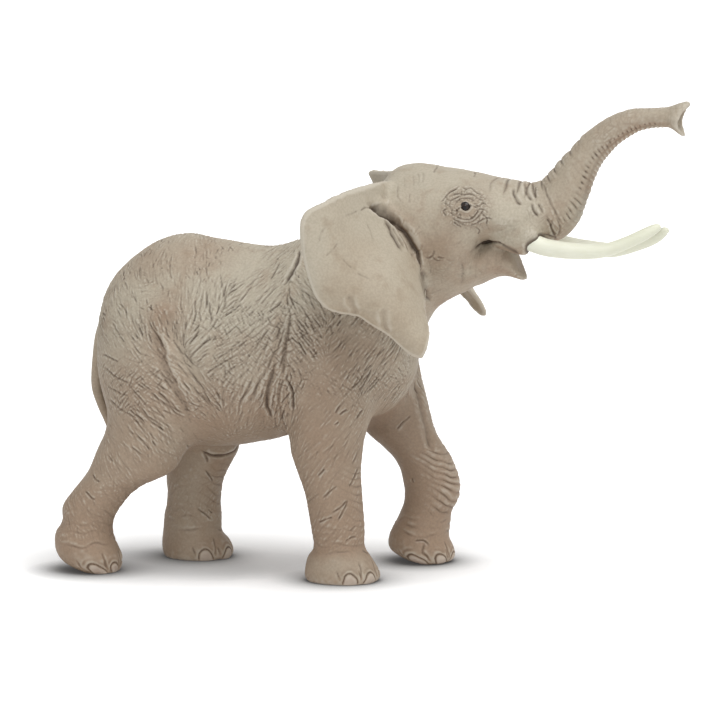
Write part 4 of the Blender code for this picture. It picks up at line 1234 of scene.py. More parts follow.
def carve_grain(skin, body_skin):
    """Short creases along the body's grain in three sizes and across it in two, long ones
    down the front legs, and nicks on the back and rump. All lie thicker in patches."""
    which = np.flatnonzero(body_skin)
    points = skin.points[which]
    ways = grain_ways(skin, which)
    thick = placed(skin, GRAIN_PLACES)[which]
    patch = np.clip(0.6 + 0.7 * noise(points, 11, 3) + thick, 0.12, 1)
    other_patch = np.clip(0.35 + 0.9 * noise(points, 9, 4) + thick, 0.0, 1)
    low = smoothstep(8, 14, points[:, 2]) * (0.55 + 0.45 * smoothstep(30, 50, points[:, 2]))
    outer = smoothstep(-0.2, 0.4, skin.normals[which, 1] * np.sign(points[:, 1]))
    leg_patch = smoothstep(66, 72, points[:, 0]) * (1 - smoothstep(46, 62, points[:, 2]))
    leg_patch *= 1.5 * np.clip(0.65 + 0.8 * noise(points, 8, 5), 0.1, 1) * outer
    low *= 0.45 + 0.55 * np.maximum(outer, smoothstep(46, 62, points[:, 2]))
    low *= 1 - 0.5 * smoothstep(62, 70, points[:, 0]) * (1 - smoothstep(48, 64, points[:, 2]))
    high = smoothstep(72, 84, points[:, 2]) * (1 - smoothstep(84, 96, points[:, 0]))
    ticks = np.clip(0.5 + 1.2 * noise(points, 5, 7), 0, 1) * high
    quarter = math.pi / 2
    # Each row: share, cell, length, width, turn, spread of turns, seed, depth and wash.
    for share, *row in (
        (patch, 3.2, 5.6, 0.27, 0.0, 0.16, 21, 0.30, 0.75),
        (patch, 2.2, 4.2, 0.24, 0.0, 0.20, 22, 0.20, 0.42),
        (0.4 + 0.6 * patch, 1.6, 3.0, 0.22, 0.0, 0.25, 23, 0.12, 0.26),
        (other_patch, 2.1, 3.0, 0.24, quarter * 0.93, 0.22, 24, 0.20, 0.45),
        (other_patch, 1.5, 2.0, 0.22, quarter, 0.30, 25, 0.12, 0.25),
        (leg_patch, 3.4, 8.5, 0.26, 0.0, 0.08, 26, 0.42, 0.90),
        (ticks, 3.0, 2.6, 0.24, 0.1, 0.35, 27, 0.26, 0.90),
        (ticks, 4.2, 6.5, 0.20, 0.0, 0.12, 28, 0.12, 0.40),
    ):
        skin.score(which, ways, share * low, *row)


def carve_head_grain(skin, head_skin):
    """Faint creases over the cheeks and neck, fewer on the brow, and more on the trunk."""
    which = np.flatnonzero(head_skin)
    points = skin.points[which]
    ways = grain_ways(skin, which)
    share = 0.25 + 0.75 * (1 - smoothstep(104, 122, points[:, 2]))
    share = np.where(points[:, 0] > 138, 0.85, share)
    patch = np.clip(0.5 + 0.9 * noise(points, 7, 6), 0, 1) * share
    for row in (
        (2.4, 3.4, 0.24, 0.0, 0.5, 31, 0.12, 0.30),
        (1.7, 2.2, 0.22, 1.2, 0.5, 32, 0.08, 0.22),
    ):
        skin.score(which, ways, patch, *row)


# Wrinkles round the eye, on the drawing.
EYE_CREASES = (
    ((440, 203), (445, 198), (450, 192.4), (457, 189.4), (460.4, 186.4)),
    ((460.4, 188), (466, 190), (471, 189), (476, 193), (483, 195)),
    ((449, 197), (455, 194), (463, 195), (469, 194), (474, 196), (480, 200), (485, 200)),
    ((455, 204), (459, 199.5), (465, 198), (471, 199.4), (476, 203)),
    ((455.5, 211), (458.5, 209.2), (461.4, 207.8)),
    ((457.6, 208.4), (459.6, 208.2), (461.2, 207.4)),
    ((469.4, 205.9), (473.4, 206.4), (477, 207.6)),
    ((469.6, 206.6), (471.6, 207), (473.4, 207.6)),
    ((450, 207), (451, 200.5), (457, 197.5), (462, 196)),
    ((449, 212), (454, 215), (457, 212), (455, 208)),
    ((453, 214), (459, 218), (466, 219.4), (473, 217.4), (478, 212), (480, 208)),
    ((451, 217), (457, 221), (464, 222.8), (472, 221), (477, 218), (483, 211), (485, 206)),
    ((453, 221), (458, 225), (462, 226.8)),
    ((468, 225), (475, 224), (481, 220.5), (488, 218), (493, 220)),
    ((474, 204), (479, 206), (483, 203), (487, 205)),
    ((478, 209), (484, 210), (489, 213)),
    ((447, 208), (443, 211), (446, 216)),
    ((482, 214), (487, 219), (486, 225)),
    ((476, 227), (479, 230), (477, 234)),
)


def carve_eyes(skin, head_skin):
    """Almond openings with rolled lids, in a net of wrinkles.

    Across the almond the lids follow two parabolas raised to the power 0.75, and each lid is
    a bell of the distance from them.
    """
    turn = math.radians(12.8)
    for side in (-1, 1):
        flat = (skin.drawn[side] - (466.0, 207.4)) * STEP
        near = (np.linalg.norm(flat, axis=1) < 14) & (skin.points[:, 1] * side > 8)
        which = np.flatnonzero(near & (skin.points[:, 0] > 100) & (skin.points[:, 2] > 105))
        flat = flat[which]
        across = flat[:, 0] * math.cos(turn) - flat[:, 1] * math.sin(turn)
        up = -flat[:, 0] * math.sin(turn) - flat[:, 1] * math.cos(turn)
        curve = np.clip(1 - (across / EYE_HALF) ** 2, 0, None) ** 0.75
        lid = np.where(up > 0, *LIDS) * curve
        beyond = np.clip(np.abs(across) - EYE_HALF, 0, None)
        gap = np.hypot(np.abs(up) - lid, beyond)
        gap = np.where((np.abs(up) < lid) & (beyond == 0), -gap, gap)
        opening = 1 - smoothstep(-0.35, 0.0, gap)
        skin.relief[which] -= 1.5 * opening
        skin.wash(which, 0.95 * (1 - smoothstep(0, 0.3, gap)))
        skin.relief[which] += 0.42 * bell(gap - 0.5, 0.36)
    for path in EYE_CREASES:
        skin.line(path, 0.24, 0.27, 0.75, (0.6, 0.6), where=head_skin)
    for side in (-1, 1):
        arm = (skin.drawn[side] - (466, 208)) * STEP
        ring = np.hypot(arm[:, 0] / 8.2, arm[:, 1] / 6.6)
        near = head_skin & (ring < 1.3) & (skin.points[:, 1] * side > 4)
        which = np.flatnonzero(near & (skin.points[:, 0] < 135))
        share = (1 - smoothstep(0.7, 1.25, ring[which])) * smoothstep(0.26, 0.40, ring[which])
        ways = grain_ways(skin, which)
        for length, turn, seed in ((2.4, 0.3, 41), (2.2, 1.5, 42)):
            skin.score(which, ways, share, 1.3, length, 0.17, turn, 0.7, seed, 0.15, 0.55)


# Creases of the head, on the drawing: width, depth, wash, path.
HEAD_CREASES = (
    # temple and crown
    (0.30, 0.14, 0.35, ((398, 184), (397.5, 192), (398, 198), (403, 203))),
    (0.30, 0.12, 0.35, ((409, 192), (409, 198), (408.5, 203))),
    (0.35, 0.10, 0.30, ((418, 172), (419.5, 178), (418, 184))),
    (0.40, 0.10, 0.30, ((423, 171), (424, 177), (422.5, 183))),
    (0.26, 0.08, 0.25, ((404, 176), (404, 188))),
    (0.26, 0.08, 0.25, ((413, 174), (413.5, 186))),
    (0.30, 0.20, 0.50, ((437.5, 165), (436, 169), (433, 173))),
    (0.30, 0.20, 0.50, ((475.5, 170.5), (475, 174), (473.5, 178))),
    # root of the trunk
    (0.50, 0.35, 0.70, ((515.5, 188.5), (513.5, 192), (516, 199), (522, 206))),
    (0.50, 0.30, 0.55, ((524.5, 183), (525.5, 190), (528, 196), (533, 201.5))),
    (0.45, 0.32, 0.70, ((532.5, 183), (533, 190), (535, 196), (535.5, 199))),
    (0.45, 0.34, 0.75, ((531, 203), (533, 209), (538, 217))),
    (0.45, 0.30, 0.60, ((538, 203), (541, 209), (543, 214))),
    (0.40, 0.22, 0.50, ((541.7, 181), (546, 192), (551, 204), (558, 217), (564, 226))),
    (0.30, 0.15, 0.35, ((545, 214), (551, 222), (560, 231))),
    (0.40, 0.35, 0.85, ((546, 218), (550, 224), (553, 232), (556, 238))),
    (0.35, 0.25, 0.70, ((552, 223), (552, 229), (557, 235))),
    (0.35, 0.25, 0.60, ((559, 224), (560, 230), (557, 237))),
    # snout
    (0.24, 0.10, 0.25, ((523, 206), (528, 212), (530, 220))),
    (0.24, 0.10, 0.25, ((519, 179.5), (519, 184))),
    (0.24, 0.14, 0.35, ((503, 177), (503.5, 181))),
    # cheek
    (0.30, 0.22, 0.60, ((424.6, 257.3), (428, 258.6), (432, 256.5), (433.4, 252), (433.4, 249.5))),
    (0.28, 0.16, 0.50, ((432, 256.5), (436, 260.5), (441, 260))),
    (0.28, 0.20, 0.55, ((437.3, 256.6), (441.6, 257.8), (445, 257.5))),
    (0.26, 0.12, 0.35, ((446, 259), (450, 260.5), (455, 259.5))),
    (0.26, 0.10, 0.30, ((429, 262), (431, 268), (430, 274))),
    (0.60, 0.18, 0.25, ((461, 260), (463, 272), (461, 286))),
    (0.30, 0.05, 0.22, ((497, 252), (497, 258), (494, 265))),
    (0.30, 0.06, 0.26, ((487, 254), (487, 262), (484, 268))),
    (0.30, 0.06, 0.26, ((475, 262), (476, 270), (475, 280))),
    (0.30, 0.10, 0.25, ((424, 296), (432, 293), (446, 288))),
    # mouth
    (0.45, 0.45, 1.0, ((474.5, 250), (480, 244.6), (488.9, 241.6), (497, 242.4), (504, 245.4))),
    (0.50, 0.20, 1.0, ((500, 243.4), (508, 247.4), (515, 251.4), (519.6, 254.4))),
    (0.45, 0.20, 0.35, ((470, 254), (474, 249), (477, 240))),
    # groove over the tusk's lip
    (0.38, 0.35, 0.85, ((541, 234.6), (548, 235.4), (558, 239))),
)
# Folds of the ears and round their roots: width, depth, wash, lips, path.
EAR_CREASES = (
    (
        *(1.2, 0.9, 0.60, (0.6, 0.4)),
        ((366, 203), (372, 206), (380, 211), (390, 217.5), (400, 227), (410, 241), (419, 257)),
    ),
    (0.75, 1.0, 1.0, (0.3, 0.3), ((370, 206), (374, 209), (380, 213.5), (388, 218.5), (396, 224.5))),
    (
        *(0.50, 0.85, 1.0, (0.3, 0.3)),
        ((380, 213.5), (388, 218.5), (396, 224.5), (404, 232), (411, 242), (416, 250))
        + ((420, 262), (421, 272)),
    ),
    (0.60, 0.55, 0.7, (0.3, 0.3), ((382, 219), (388, 227), (393, 237), (402, 252))),
    (0.45, 0.40, 0.6, (0.3, 0.3), ((391, 227), (397, 237), (404, 249))),
    (0.30, 0.25, 0.45, (0.3, 0.3), ((398, 232), (403, 241), (409, 253))),
    (0.40, 0.25, 0.35, (0.3, 0.3), ((360, 212), (365, 208.5), (373, 208), (381, 211))),
    (0.9, 0.5, 0.45, (0.3, 0.3), ((421, 268), (423, 280), (426, 294), (430, 303))),
    (0.35, 0.14, 0.30, (0.3, 0.3), ((325, 227), (321, 234), (319.5, 242.6))),
    (0.35, 0.14, 0.30, (0.3, 0.3), ((339, 242.6), (333, 250), (325, 256.6))),
    (0.35, 0.14, 0.35, (0.3, 0.3), ((343, 258), (347, 263), (353, 268))),
    (0.35, 0.14, 0.30, (0.3, 0.3), ((357, 272), (363, 276), (370, 279))),
    (0.35, 0.14, 0.30, (0.3, 0.3), ((358, 211), (352, 214), (345, 216))),
    (0.35, 0.12, 0.22, (0.3, 0.3), ((366, 222), (371, 232), (374, 243))),
    (1.0, 0.35, 0.10, (0.3, 0.3), ((358, 316), (352, 306), (349, 294))),
    (1.0, 0.35, 0.10, (0.3, 0.3), ((388, 334), (384, 322), (383, 308))),
    (
        *(2.0, -0.65, 0.0, (0.45, 0.0)),
        ((299, 226), (307, 212), (323, 201), (344, 192.5), (364, 187), (384, 178)),
    ),
)


def carve_head(skin, head_skin, ear_skin):
    """The creases of the head and the folds of the ears, on both sides."""
    for width, depth, dark, path in HEAD_CREASES:
        skin.line(path, width, depth, dark, where=head_skin)
    for width, depth, dark, lip, path in EAR_CREASES:
        skin.line(path, width, depth, dark, lip, where=ear_skin | head_skin)


def trunk_place(points):
    """How far along the trunk's middle line each point lies, and how high above it: -1 at
    the trunk's underside and 1 at its top."""
    rows = spline(BODY, 400)[200:]
    middle = np.column_stack(((rows[:, 0] + rows[:, 2]) / 2, (rows[:, 1] + rows[:, 3]) / 2))
    run = np.concatenate(([0], np.cumsum(np.linalg.norm(np.diff(middle, axis=0), axis=1))))
    up = np.column_stack((rows[:, 0] - rows[:, 2], rows[:, 1] - rows[:, 3]))
    up /= np.linalg.norm(up, axis=1)[:, None]
    half = np.linalg.norm(rows[:, :2] - rows[:, 2:4], axis=1) / 2
    place = np.zeros(len(points))
    lift = np.zeros(len(points))
    for start in range(0, len(points), 20000):
        part = points[start : start + 20000][:, (0, 2)]
        nearest = np.argmin(((part[:, None] - middle[None]) ** 2).sum(axis=2), axis=1)
        arm = part - middle[nearest]
        forward = np.column_stack((up[nearest][:, 1], -up[nearest][:, 0]))
        place[start : start + 20000] = run[nearest] + (arm * forward).sum(axis=1)
        lift[start : start + 20000] = (arm * up[nearest]).sum(axis=1) / half[nearest]
    return place, lift


def carve_trunk(skin):
    """Rings round the trunk, folds on its top near the root, and ticks along its underside.

    A ring is a sine of the place along the trunk, sharpened to narrow valleys and bent by
    noise. A tick is a bell along the trunk, held to a band of heights below its middle.
    """
    which = np.flatnonzero((skin.points[:, 0] > 124) & (skin.points[:, 2] > 104))
    points = skin.points[which]
    place, lift = trunk_place(points)
    upper = smoothstep(0.1, 0.9, lift)
    along = smoothstep(0, 8, points[:, 0] - 133)
    bent = place + noise(points, 4.0, 31) * 0.9
    patchy = np.clip(0.5 + 0.8 * noise(points, 2.5, 41), 0, 1)
    wave = np.abs(np.sin(np.pi * bent / 2.1))
    valley = bell(wave, 0.28)
    strength = along * (0.3 * patchy + 0.5 * upper)
    skin.relief[which] -= 0.14 * valley * strength
    skin.wash(which, 0.30 * valley * strength * patchy)
    root = smoothstep(124, 128, points[:, 0]) * (1 - smoothstep(151, 156, points[:, 0]))
    wave = np.abs(np.sin(np.pi * (place + noise(points, 6.0, 33) * 0.8) / 3.9))
    valley = bell(wave, 0.33)
    skin.relief[which] += (0.22 * (1 - valley) - 0.30 * valley) * root * smoothstep(0.45, 0.9, lift)
    skin.wash(which, 0.35 * valley * root * smoothstep(0.55, 0.9, lift))
    ticked = smoothstep(0, 5, points[:, 2] - 110) * (1 - smoothstep(178, 182, points[:, 0]))
    band = bell(lift + 0.50 + 0.14 * noise(points, 2.2, 7), 0.14) * ticked
    pitch = 1.62
    spot = (bent * 0.45 + place * 0.55) / pitch
    tick = np.abs(spot % 1 - 0.5) * 2
    side = np.sign(points[:, 1])
    fate = hashed(np.column_stack((np.floor(spot), side, side)), 5)
    mark = bell((1 - tick) * pitch / 2, 0.24) * band
    skin.press(which, mark * (0.25 + 0.75 * fate), 0.34, 0.95)
    under = bell(lift + 0.84, 0.15) * ticked
    skin.relief[which] += under * (0.24 + 0.16 * np.sin(2 * np.pi * spot))
    skin.press(which, bell(lift + 0.68, 0.06) * ticked, 0.10, 0.25)


# The turn of each nail round its foot, in degrees from straight ahead.
NAILS = {
    "front_leg_right": (-64, -26, 12, 48),
    "front_leg_left": (-98, -48, -5, 36),
    "rear_leg_right": (-76, -29, 12),
    "rear_leg_left": (-64, -17, 26),
}
# Rings of skin round each ankle: height and depth.
ANKLE_RINGS = ((9.4, 0.24), (11.6, 0.20), (13.4, 0.16), (15.8, 0.12), (18.2, 0.08))


def carve_feet(skin):
    """Nails round the front of each foot, clefts between them, and rings at the ankle.

    A nail is a plate inside an arch, over the angle round the foot and the height, with a
    crease along the arch.
    """
    for name, rows in LEGS.items():
        foot = rows[2 if name != "front_leg_left" else 3]
        near = (np.abs(skin.points[:, 0] - foot[1]) < 16) & (skin.points[:, 2] < 34)
        near &= np.abs(skin.points[:, 1] - foot[2]) < 14
        which = np.flatnonzero(near)
        points = skin.points[which]
        height = points[:, 2]
        x, _, length = leg_at(name, height)
        angle = np.degrees(np.arctan2(points[:, 1] - foot[2], points[:, 0] - x))
        heel = smoothstep(60, 130, np.abs(angle + 20))
        length = np.maximum(length, 9.0)
        uneven = 0.45 * noise(points, 2.2, 57)
        for number, turn in enumerate(NAILS[name]):
            gap = (angle - turn + 180) % 360 - 180
            across = np.radians(gap) * length + uneven
            wide = 2.5 - 0.12 * number
            tall = 3.5 - 0.2 * number
            shape = np.hypot(across / wide, height / tall)
            plate = 1 - smoothstep(0.80, 0.98, shape)
            rim = bell(shape - 1.06, 0.075) * smoothstep(0.2, 1.0, height)
            fold = bell(shape - 1.45, 0.12) * smoothstep(2.5, 4.0, height)
            fold *= np.clip(0.5 + noise(points, 3.0, 58 + number), 0, 1)
            swell = np.exp(-((across / 3.3) ** 2) - ((height - 3.6) / 4.0) ** 2)
            skin.relief[which] += 0.45 * swell + 0.08 * plate - 0.30 * rim - 0.12 * fold
            skin.wash(which, np.maximum(0.80 * rim, 0.25 * fold))
            skin.nail[which] = np.maximum(skin.nail[which], 0.6 * plate)
            for way, reach in ((-1, 5.0), (1, 7.5)):
                cleft = bell(across * way - (3.9 + 0.12 * (height - 3)), 0.32)
                cleft *= smoothstep(1.0, 3.0, height) * (1 - smoothstep(reach - 1.5, reach, height))
                skin.press(which, cleft * (np.abs(gap) < 60), 0.26, 0.35)
        bent = height + noise(points, 4.5, 61) * 1.4
        for level, depth in ANKLE_RINGS:
            patchy = np.clip(0.2 + 1.2 * noise(points * (1, 1, 2), 4.0, int(level * 10)), 0, 1)
            ring = bell(bent - level, 0.32) * patchy * (0.35 + 0.65 * (1 - heel))
            skin.press(which, ring, depth, 0.6 * depth / 0.3)
            puff = bell(bent - level - 0.9, 0.6) * (0.3 + 0.7 * patchy)
            skin.relief[which] += 0.5 * depth * puff


def carve_knees(skin):
    """Rolls of skin over the front of each knee: a sine of the height, which falls
    forwards and is bent by noise."""
    for name in LEGS:
        low, high = (16, 37) if name.startswith("front") else (14, 30)
        near = (skin.points[:, 2] > low - 3) & (skin.points[:, 2] < high + 3)
        x, y, length = leg_at(name, skin.points[:, 2])
        near &= np.hypot(skin.points[:, 0] - x, skin.points[:, 1] - y) < 1.4 * length
        which = np.flatnonzero(near)
        points = skin.points[which]
        turn = np.arctan2(points[:, 1] - y[which], points[:, 0] - x[which])
        bent_knee = name == "front_leg_left"
        front = np.clip(np.cos(turn) + (0.3 if bent_knee else 0.0), 0, 1) ** 1.2
        amount = 0.28 if bent_knee else 0.12
        fade = smoothstep(low - 2, low + 2, points[:, 2]) * (
            1 - smoothstep(high - 3, high + 2, points[:, 2])
        )
        fall = 0.75 * (points[:, 0] - x[which])
        bent = points[:, 2] + fall + noise(points, 4, 71) * 1.1
        wave = np.abs(np.sin(np.pi * bent / 2.6))
        patchy = 0.45 + 0.55 * np.clip(0.5 + noise(points, 3.2, 73), 0, 1)
        valley = bell(wave, 0.33) * front * fade * patchy
        skin.press(which, valley, amount, 0.55)
        skin.relief[which] += 0.35 * amount * (wave**2) * front * fade


def carve_surface(skin, ear_skin):
    """Uneven skin everywhere: three sizes of noise, less on the ears."""
    share = np.where(ear_skin, 0.5, 1.0)
    skin.relief += 0.20 * noise(skin.points, 7.0, 91) * share
    skin.relief += 0.09 * noise(skin.points, 2.6, 92) * share
    skin.relief += 0.045 * noise(skin.points, 1.1, 93) * share


def finished_skin():
    """The skin with all that is pressed into it, and the piece that each face belongs to."""
    points, quads, ears, jaw = smooth_form()
    names = piece_of_faces(points, quads, ears, jaw)
    skin = Skin(points, quads)
    kinds = {}
    for name in np.unique(names):
        mark = np.zeros(len(points), dtype=bool)
        mark[quads[names == name].ravel()] = True
        kinds[name] = mark
    ear_skin = kinds["ear_right"] | kinds["ear_left"]
    head_skin = kinds["head"] | kinds["lower_jaw"]
    body_skin = ~ear_skin & ~head_skin
    carve_forms(skin)
    carve_surface(skin, ear_skin)
    carve_grain(skin, body_skin)
    carve_head_grain(skin, head_skin)
    carve_folds(skin, body_skin)
    carve_head(skin, head_skin, ear_skin)
    carve_eyes(skin, head_skin)
    carve_trunk(skin)
    carve_feet(skin)
    carve_knees(skin)
    skin.points = skin.points + skin.normals * skin.relief[:, None]
    skin.points[:, 2] = np.maximum(skin.points[:, 2], 0.0)
    skin.points[:, 0] = np.maximum(skin.points[:, 0], REARMOST)
    return skin, names


def new_group(name, inputs, outputs):
    """An empty shader node group, with its input and output nodes."""
    group = bpy.data.node_groups.new(name, "ShaderNodeTree")
    for socket, kind, value in inputs:
        made = group.interface.new_socket(socket, in_out="INPUT", socket_type=kind)
        made.default_value = value
    for socket, kind in outputs:
        group.interface.new_socket(socket, in_out="OUTPUT", socket_type=kind)
    return group, group.nodes.new("NodeGroupInput"), group.nodes.new("NodeGroupOutput")


def feed(tree, node, inputs):
    """Gives each input of a node its value, or a link from the socket given for it."""
    for socket, value in inputs.items():
        if isinstance(value, bpy.types.NodeSocket):
            tree.links.new(value, node.inputs[socket])
        else:
            node.inputs[socket].default_value = value


def add(tree, kind, inputs=None, **settings):
    """A new node with its settings and inputs."""
    node = tree.nodes.new(kind)
    for key, value in settings.items():
        setattr(node, key, value)
    feed(tree, node, inputs or {})
    return node


def mixed(tree, factor, first, second, blend="MIX"):
    """A colour mix of two sockets or colours by a factor."""
    kind = {"data_type": "RGBA", "blend_type": blend}
    return add(tree, "ShaderNodeMix", {0: factor, 6: first, 7: second}, **kind).outputs[2]


def maths(tree, operation, first, second=0.0, clamp=False):
    """One sum of two sockets or numbers."""
    kind = {"operation": operation, "use_clamp": clamp}
    return add(tree, "ShaderNodeMath", {0: first, 1: second}, **kind).outputs[0]


def ranged(tree, value, low, high, start=0.0, end=1.0):
    """A value's place between low and high, laid out smoothly between start and end."""
    inputs = {"Value": value, "From Min": low, "From Max": high, "To Min": start, "To Max": end}
    return add(tree, "ShaderNodeMapRange", inputs, interpolation_type="SMOOTHSTEP").outputs[0]


def cloud(tree, place, scale, detail=3.0, rough=0.55):
    """Noise of the given scale and detail at a place."""
    inputs = {"Vector": place, "Scale": scale, "Detail": detail, "Roughness": rough}
    return add(tree, "ShaderNodeTexNoise", inputs).outputs["Fac"]


def layer(tree, name):
    """One of the numbers that a piece carries at its points."""
    return add(tree, "ShaderNodeAttribute", attribute_name=name).outputs["Fac"]


def new_material(name):
    """A material with its tree of nodes and its shader."""
    material = bpy.data.materials.new(name)
    material.use_nodes = True
    tree = material.node_tree
    return material, tree, tree.nodes["Principled BSDF"]


def hide_paint_group():
    """Paint on the hide: a base coat that turns from grey above to brown below, made browner by
    the shade layer's tint and painted shade or greyer by its painted light, dark wash held in the
    creases and as painted shade in gaps, a paler dry brush on what stands proud, which also
    paints a highlight along the ears' rims, and fine pores."""
    colour, number = "NodeSocketColor", "NodeSocketFloat"
    group, given, made = new_group(
        "hide_paint",
        (
            ("Upper Coat", colour, (0.5, 0.45, 0.36, 1)),
            ("Lower Coat", colour, (0.33, 0.25, 0.19, 1)),
            ("Wash", colour, (0.06, 0.038, 0.025, 1)),
            ("Nail", colour, (0.42, 0.31, 0.26, 1)),
            ("Low Height", number, 0.02),
            ("High Height", number, 0.105),
            ("Wash Amount", number, 1.0),
        ),
        (("Color", colour), ("Roughness", number), ("Height", number)),
    )
    given = given.outputs
    place = add(group, "ShaderNodeTexCoord").outputs["Object"]
    rise = add(group, "ShaderNodeSeparateXYZ", {0: place}).outputs["Z"]
    crease, proud, nail, shade = [layer(group, name) for name in SKIN_LAYERS]
    broad = cloud(group, place, 55.0, 4.0)
    patch = cloud(group, place, 160.0, 3.0)
    fine = cloud(group, place, 1400.0, 2.0)

    # The coat is grey above and brown below. Shade makes it browner and, below 0, greyer; it carries
    # the coat's brown tint, painted shade and, below 0, painted light.
    height = maths(group, "ADD", rise, maths(group, "MULTIPLY", broad, 0.02))
    level = ranged(group, height, given["Low Height"], given["High Height"])
    unshaded = maths(group, "SUBTRACT", 1.0, maths(group, "MAXIMUM", shade, 0.0))
    upper = maths(group, "MULTIPLY", level, unshaded)
    # Painted light: where shade is below 0 the coat is lifted towards the grey upper coat.
    lift = maths(group, "MAXIMUM", maths(group, "MULTIPLY", shade, -1.0), 0.0)
    upper = maths(group, "ADD", upper, lift, True)
    coat = mixed(group, upper, given["Lower Coat"], given["Upper Coat"])
    warm = ranged(group, patch, 0.5, 0.72, 0.0, 0.32)
    coat = mixed(group, warm, coat, given["Lower Coat"])
    speck = ranged(group, fine, 0.35, 0.65, 0.94, 1.05)
    grey = add(group, "ShaderNodeCombineColor", {0: speck, 1: speck, 2: speck})
    coat = mixed(group, 1.0, coat, grey.outputs[0], "MULTIPLY")
    coat = mixed(group, nail, coat, given["Nail"])

    # The dry brush, which also paints the highlight along the ears' rims, and the wash, which also
    # holds painted shade in gaps, lie over it.
    brush = ranged(group, proud, 0.15, 1.0, 0.0, 0.45)
    pale = mixed(group, 0.5, given["Upper Coat"], (0.78, 0.74, 0.65, 1))
    coat = mixed(group, brush, coat, pale)
    hold = maths(group, "MULTIPLY", crease, given["Wash Amount"], True)
    film = ranged(group, patch, 0.55, 0.8, 0.0, 0.10)
    hold = maths(group, "MAXIMUM", maths(group, "MULTIPLY", hold, 0.85), film)
    coat = mixed(group, hold, coat, given["Wash"])
    rough = ranged(group, patch, 0.3, 0.7, 0.56, 0.68)
    pores = maths(group, "ADD", maths(group, "MULTIPLY", fine, 0.35), patch)
    feed(group, made, {"Color": coat, "Roughness": rough, "Height": pores})
    return group


def hide_material(name, group, values, bump):
    """The hide's paint in the tones of one slot, with its pores raised by the bump."""
    material, tree, shader = new_material(name)
    paint = add(tree, "ShaderNodeGroup", node_tree=group)
    feed(tree, paint, values)
    coat, rough, pores = paint.outputs
    raised = add(tree, "ShaderNodeBump", {"Strength": bump, "Distance": 0.0002, "Height": pores})
    finish = {"Specular IOR Level": 0.32, "Metallic": 0.0, "Base Color": coat}
    feed(tree, shader, {**finish, "Roughness": rough, "Normal": raised.outputs["Normal"]})
    return material


def ivory_material():
    """Satin ivory: creamy, with faint lengthwise streaks and a yellower tip."""
    material, tree, shader = new_material("ivory_paint")
    place = add(tree, "ShaderNodeTexCoord").outputs["Object"]
    stretched = {"Scale": (0.25, 1.0, 1.0), "Vector": place}
    stretched = add(tree, "ShaderNodeMapping", stretched).outputs[0]
    streak = ranged(tree, cloud(tree, stretched, 900.0, 3.0), 0.35, 0.7, 0.0, 0.35)
    ivory = mixed(tree, streak, (0.80, 0.80, 0.68, 1), (0.70, 0.70, 0.53, 1))
    forward = add(tree, "ShaderNodeSeparateXYZ", {0: place}).outputs["X"]
    tip = ranged(tree, forward, 0.055, 0.088, 0.0, 0.6)
    ivory = mixed(tree, tip, ivory, (0.66, 0.67, 0.52, 1))
    soft = ranged(tree, cloud(tree, place, 300.0), 0.3, 0.7, 0.36, 0.46)
    finish = {"Specular IOR Level": 0.45, "Metallic": 0.0, "Subsurface Weight": 0.0}
    feed(tree, shader, {**finish, "Base Color": ivory, "Roughness": soft})
    return material


def eye_material():
    """A black pupil in a glossy dark brown iris, on a nearly black ball."""
    material, tree, shader = new_material("eye_paint")
    iris = layer(tree, "iris")
    place = add(tree, "ShaderNodeTexCoord").outputs["Object"]
    fleck = ranged(tree, cloud(tree, place, 3500.0), 0.4, 0.65, 0.0, 0.6)
    brown = mixed(tree, fleck, (0.022, 0.012, 0.008, 1), (0.050, 0.025, 0.014, 1))
    ball = mixed(tree, ranged(tree, iris, 0.52, 0.62), brown, (0.016, 0.011, 0.009, 1))
    colour = mixed(tree, ranged(tree, iris, 0.24, 0.30), (0.003, 0.002, 0.002, 1), ball)
    feed(tree, shader, {"Roughness": 0.12, "Specular IOR Level": 0.30, "Base Color": colour})
    return material


def piece_object(name, points, faces, material, nodes, values=None, ways=None):
    """A finished piece: moved into the world's metres, shaded smooth, with its attributes."""
    mesh = bpy.data.meshes.new(name)
    mesh.from_pydata((points - ORIGIN) * METRES, [], faces)
    mesh.shade_smooth()
    for key, value in (values or {}).items():
        carried = mesh.attributes.new(key, "FLOAT", "POINT")
        carried.data.foreach_set("value", np.asarray(value, dtype=np.float32))
    if ways is not None:
        mesh.normals_split_custom_set_from_vertices(ways)
    mesh.materials.append(material)
    thing = in_scene(name, mesh)
    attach(thing, "root")
    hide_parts(*nodes)
    return thing


def outward(points, faces):
    """The same faces, all turned to face outwards."""
    thing = mesh_object("turned_form", points, faces)
    turned = [list(face.vertices) for face in thing.data.polygons]
    discard(thing)
    return turned


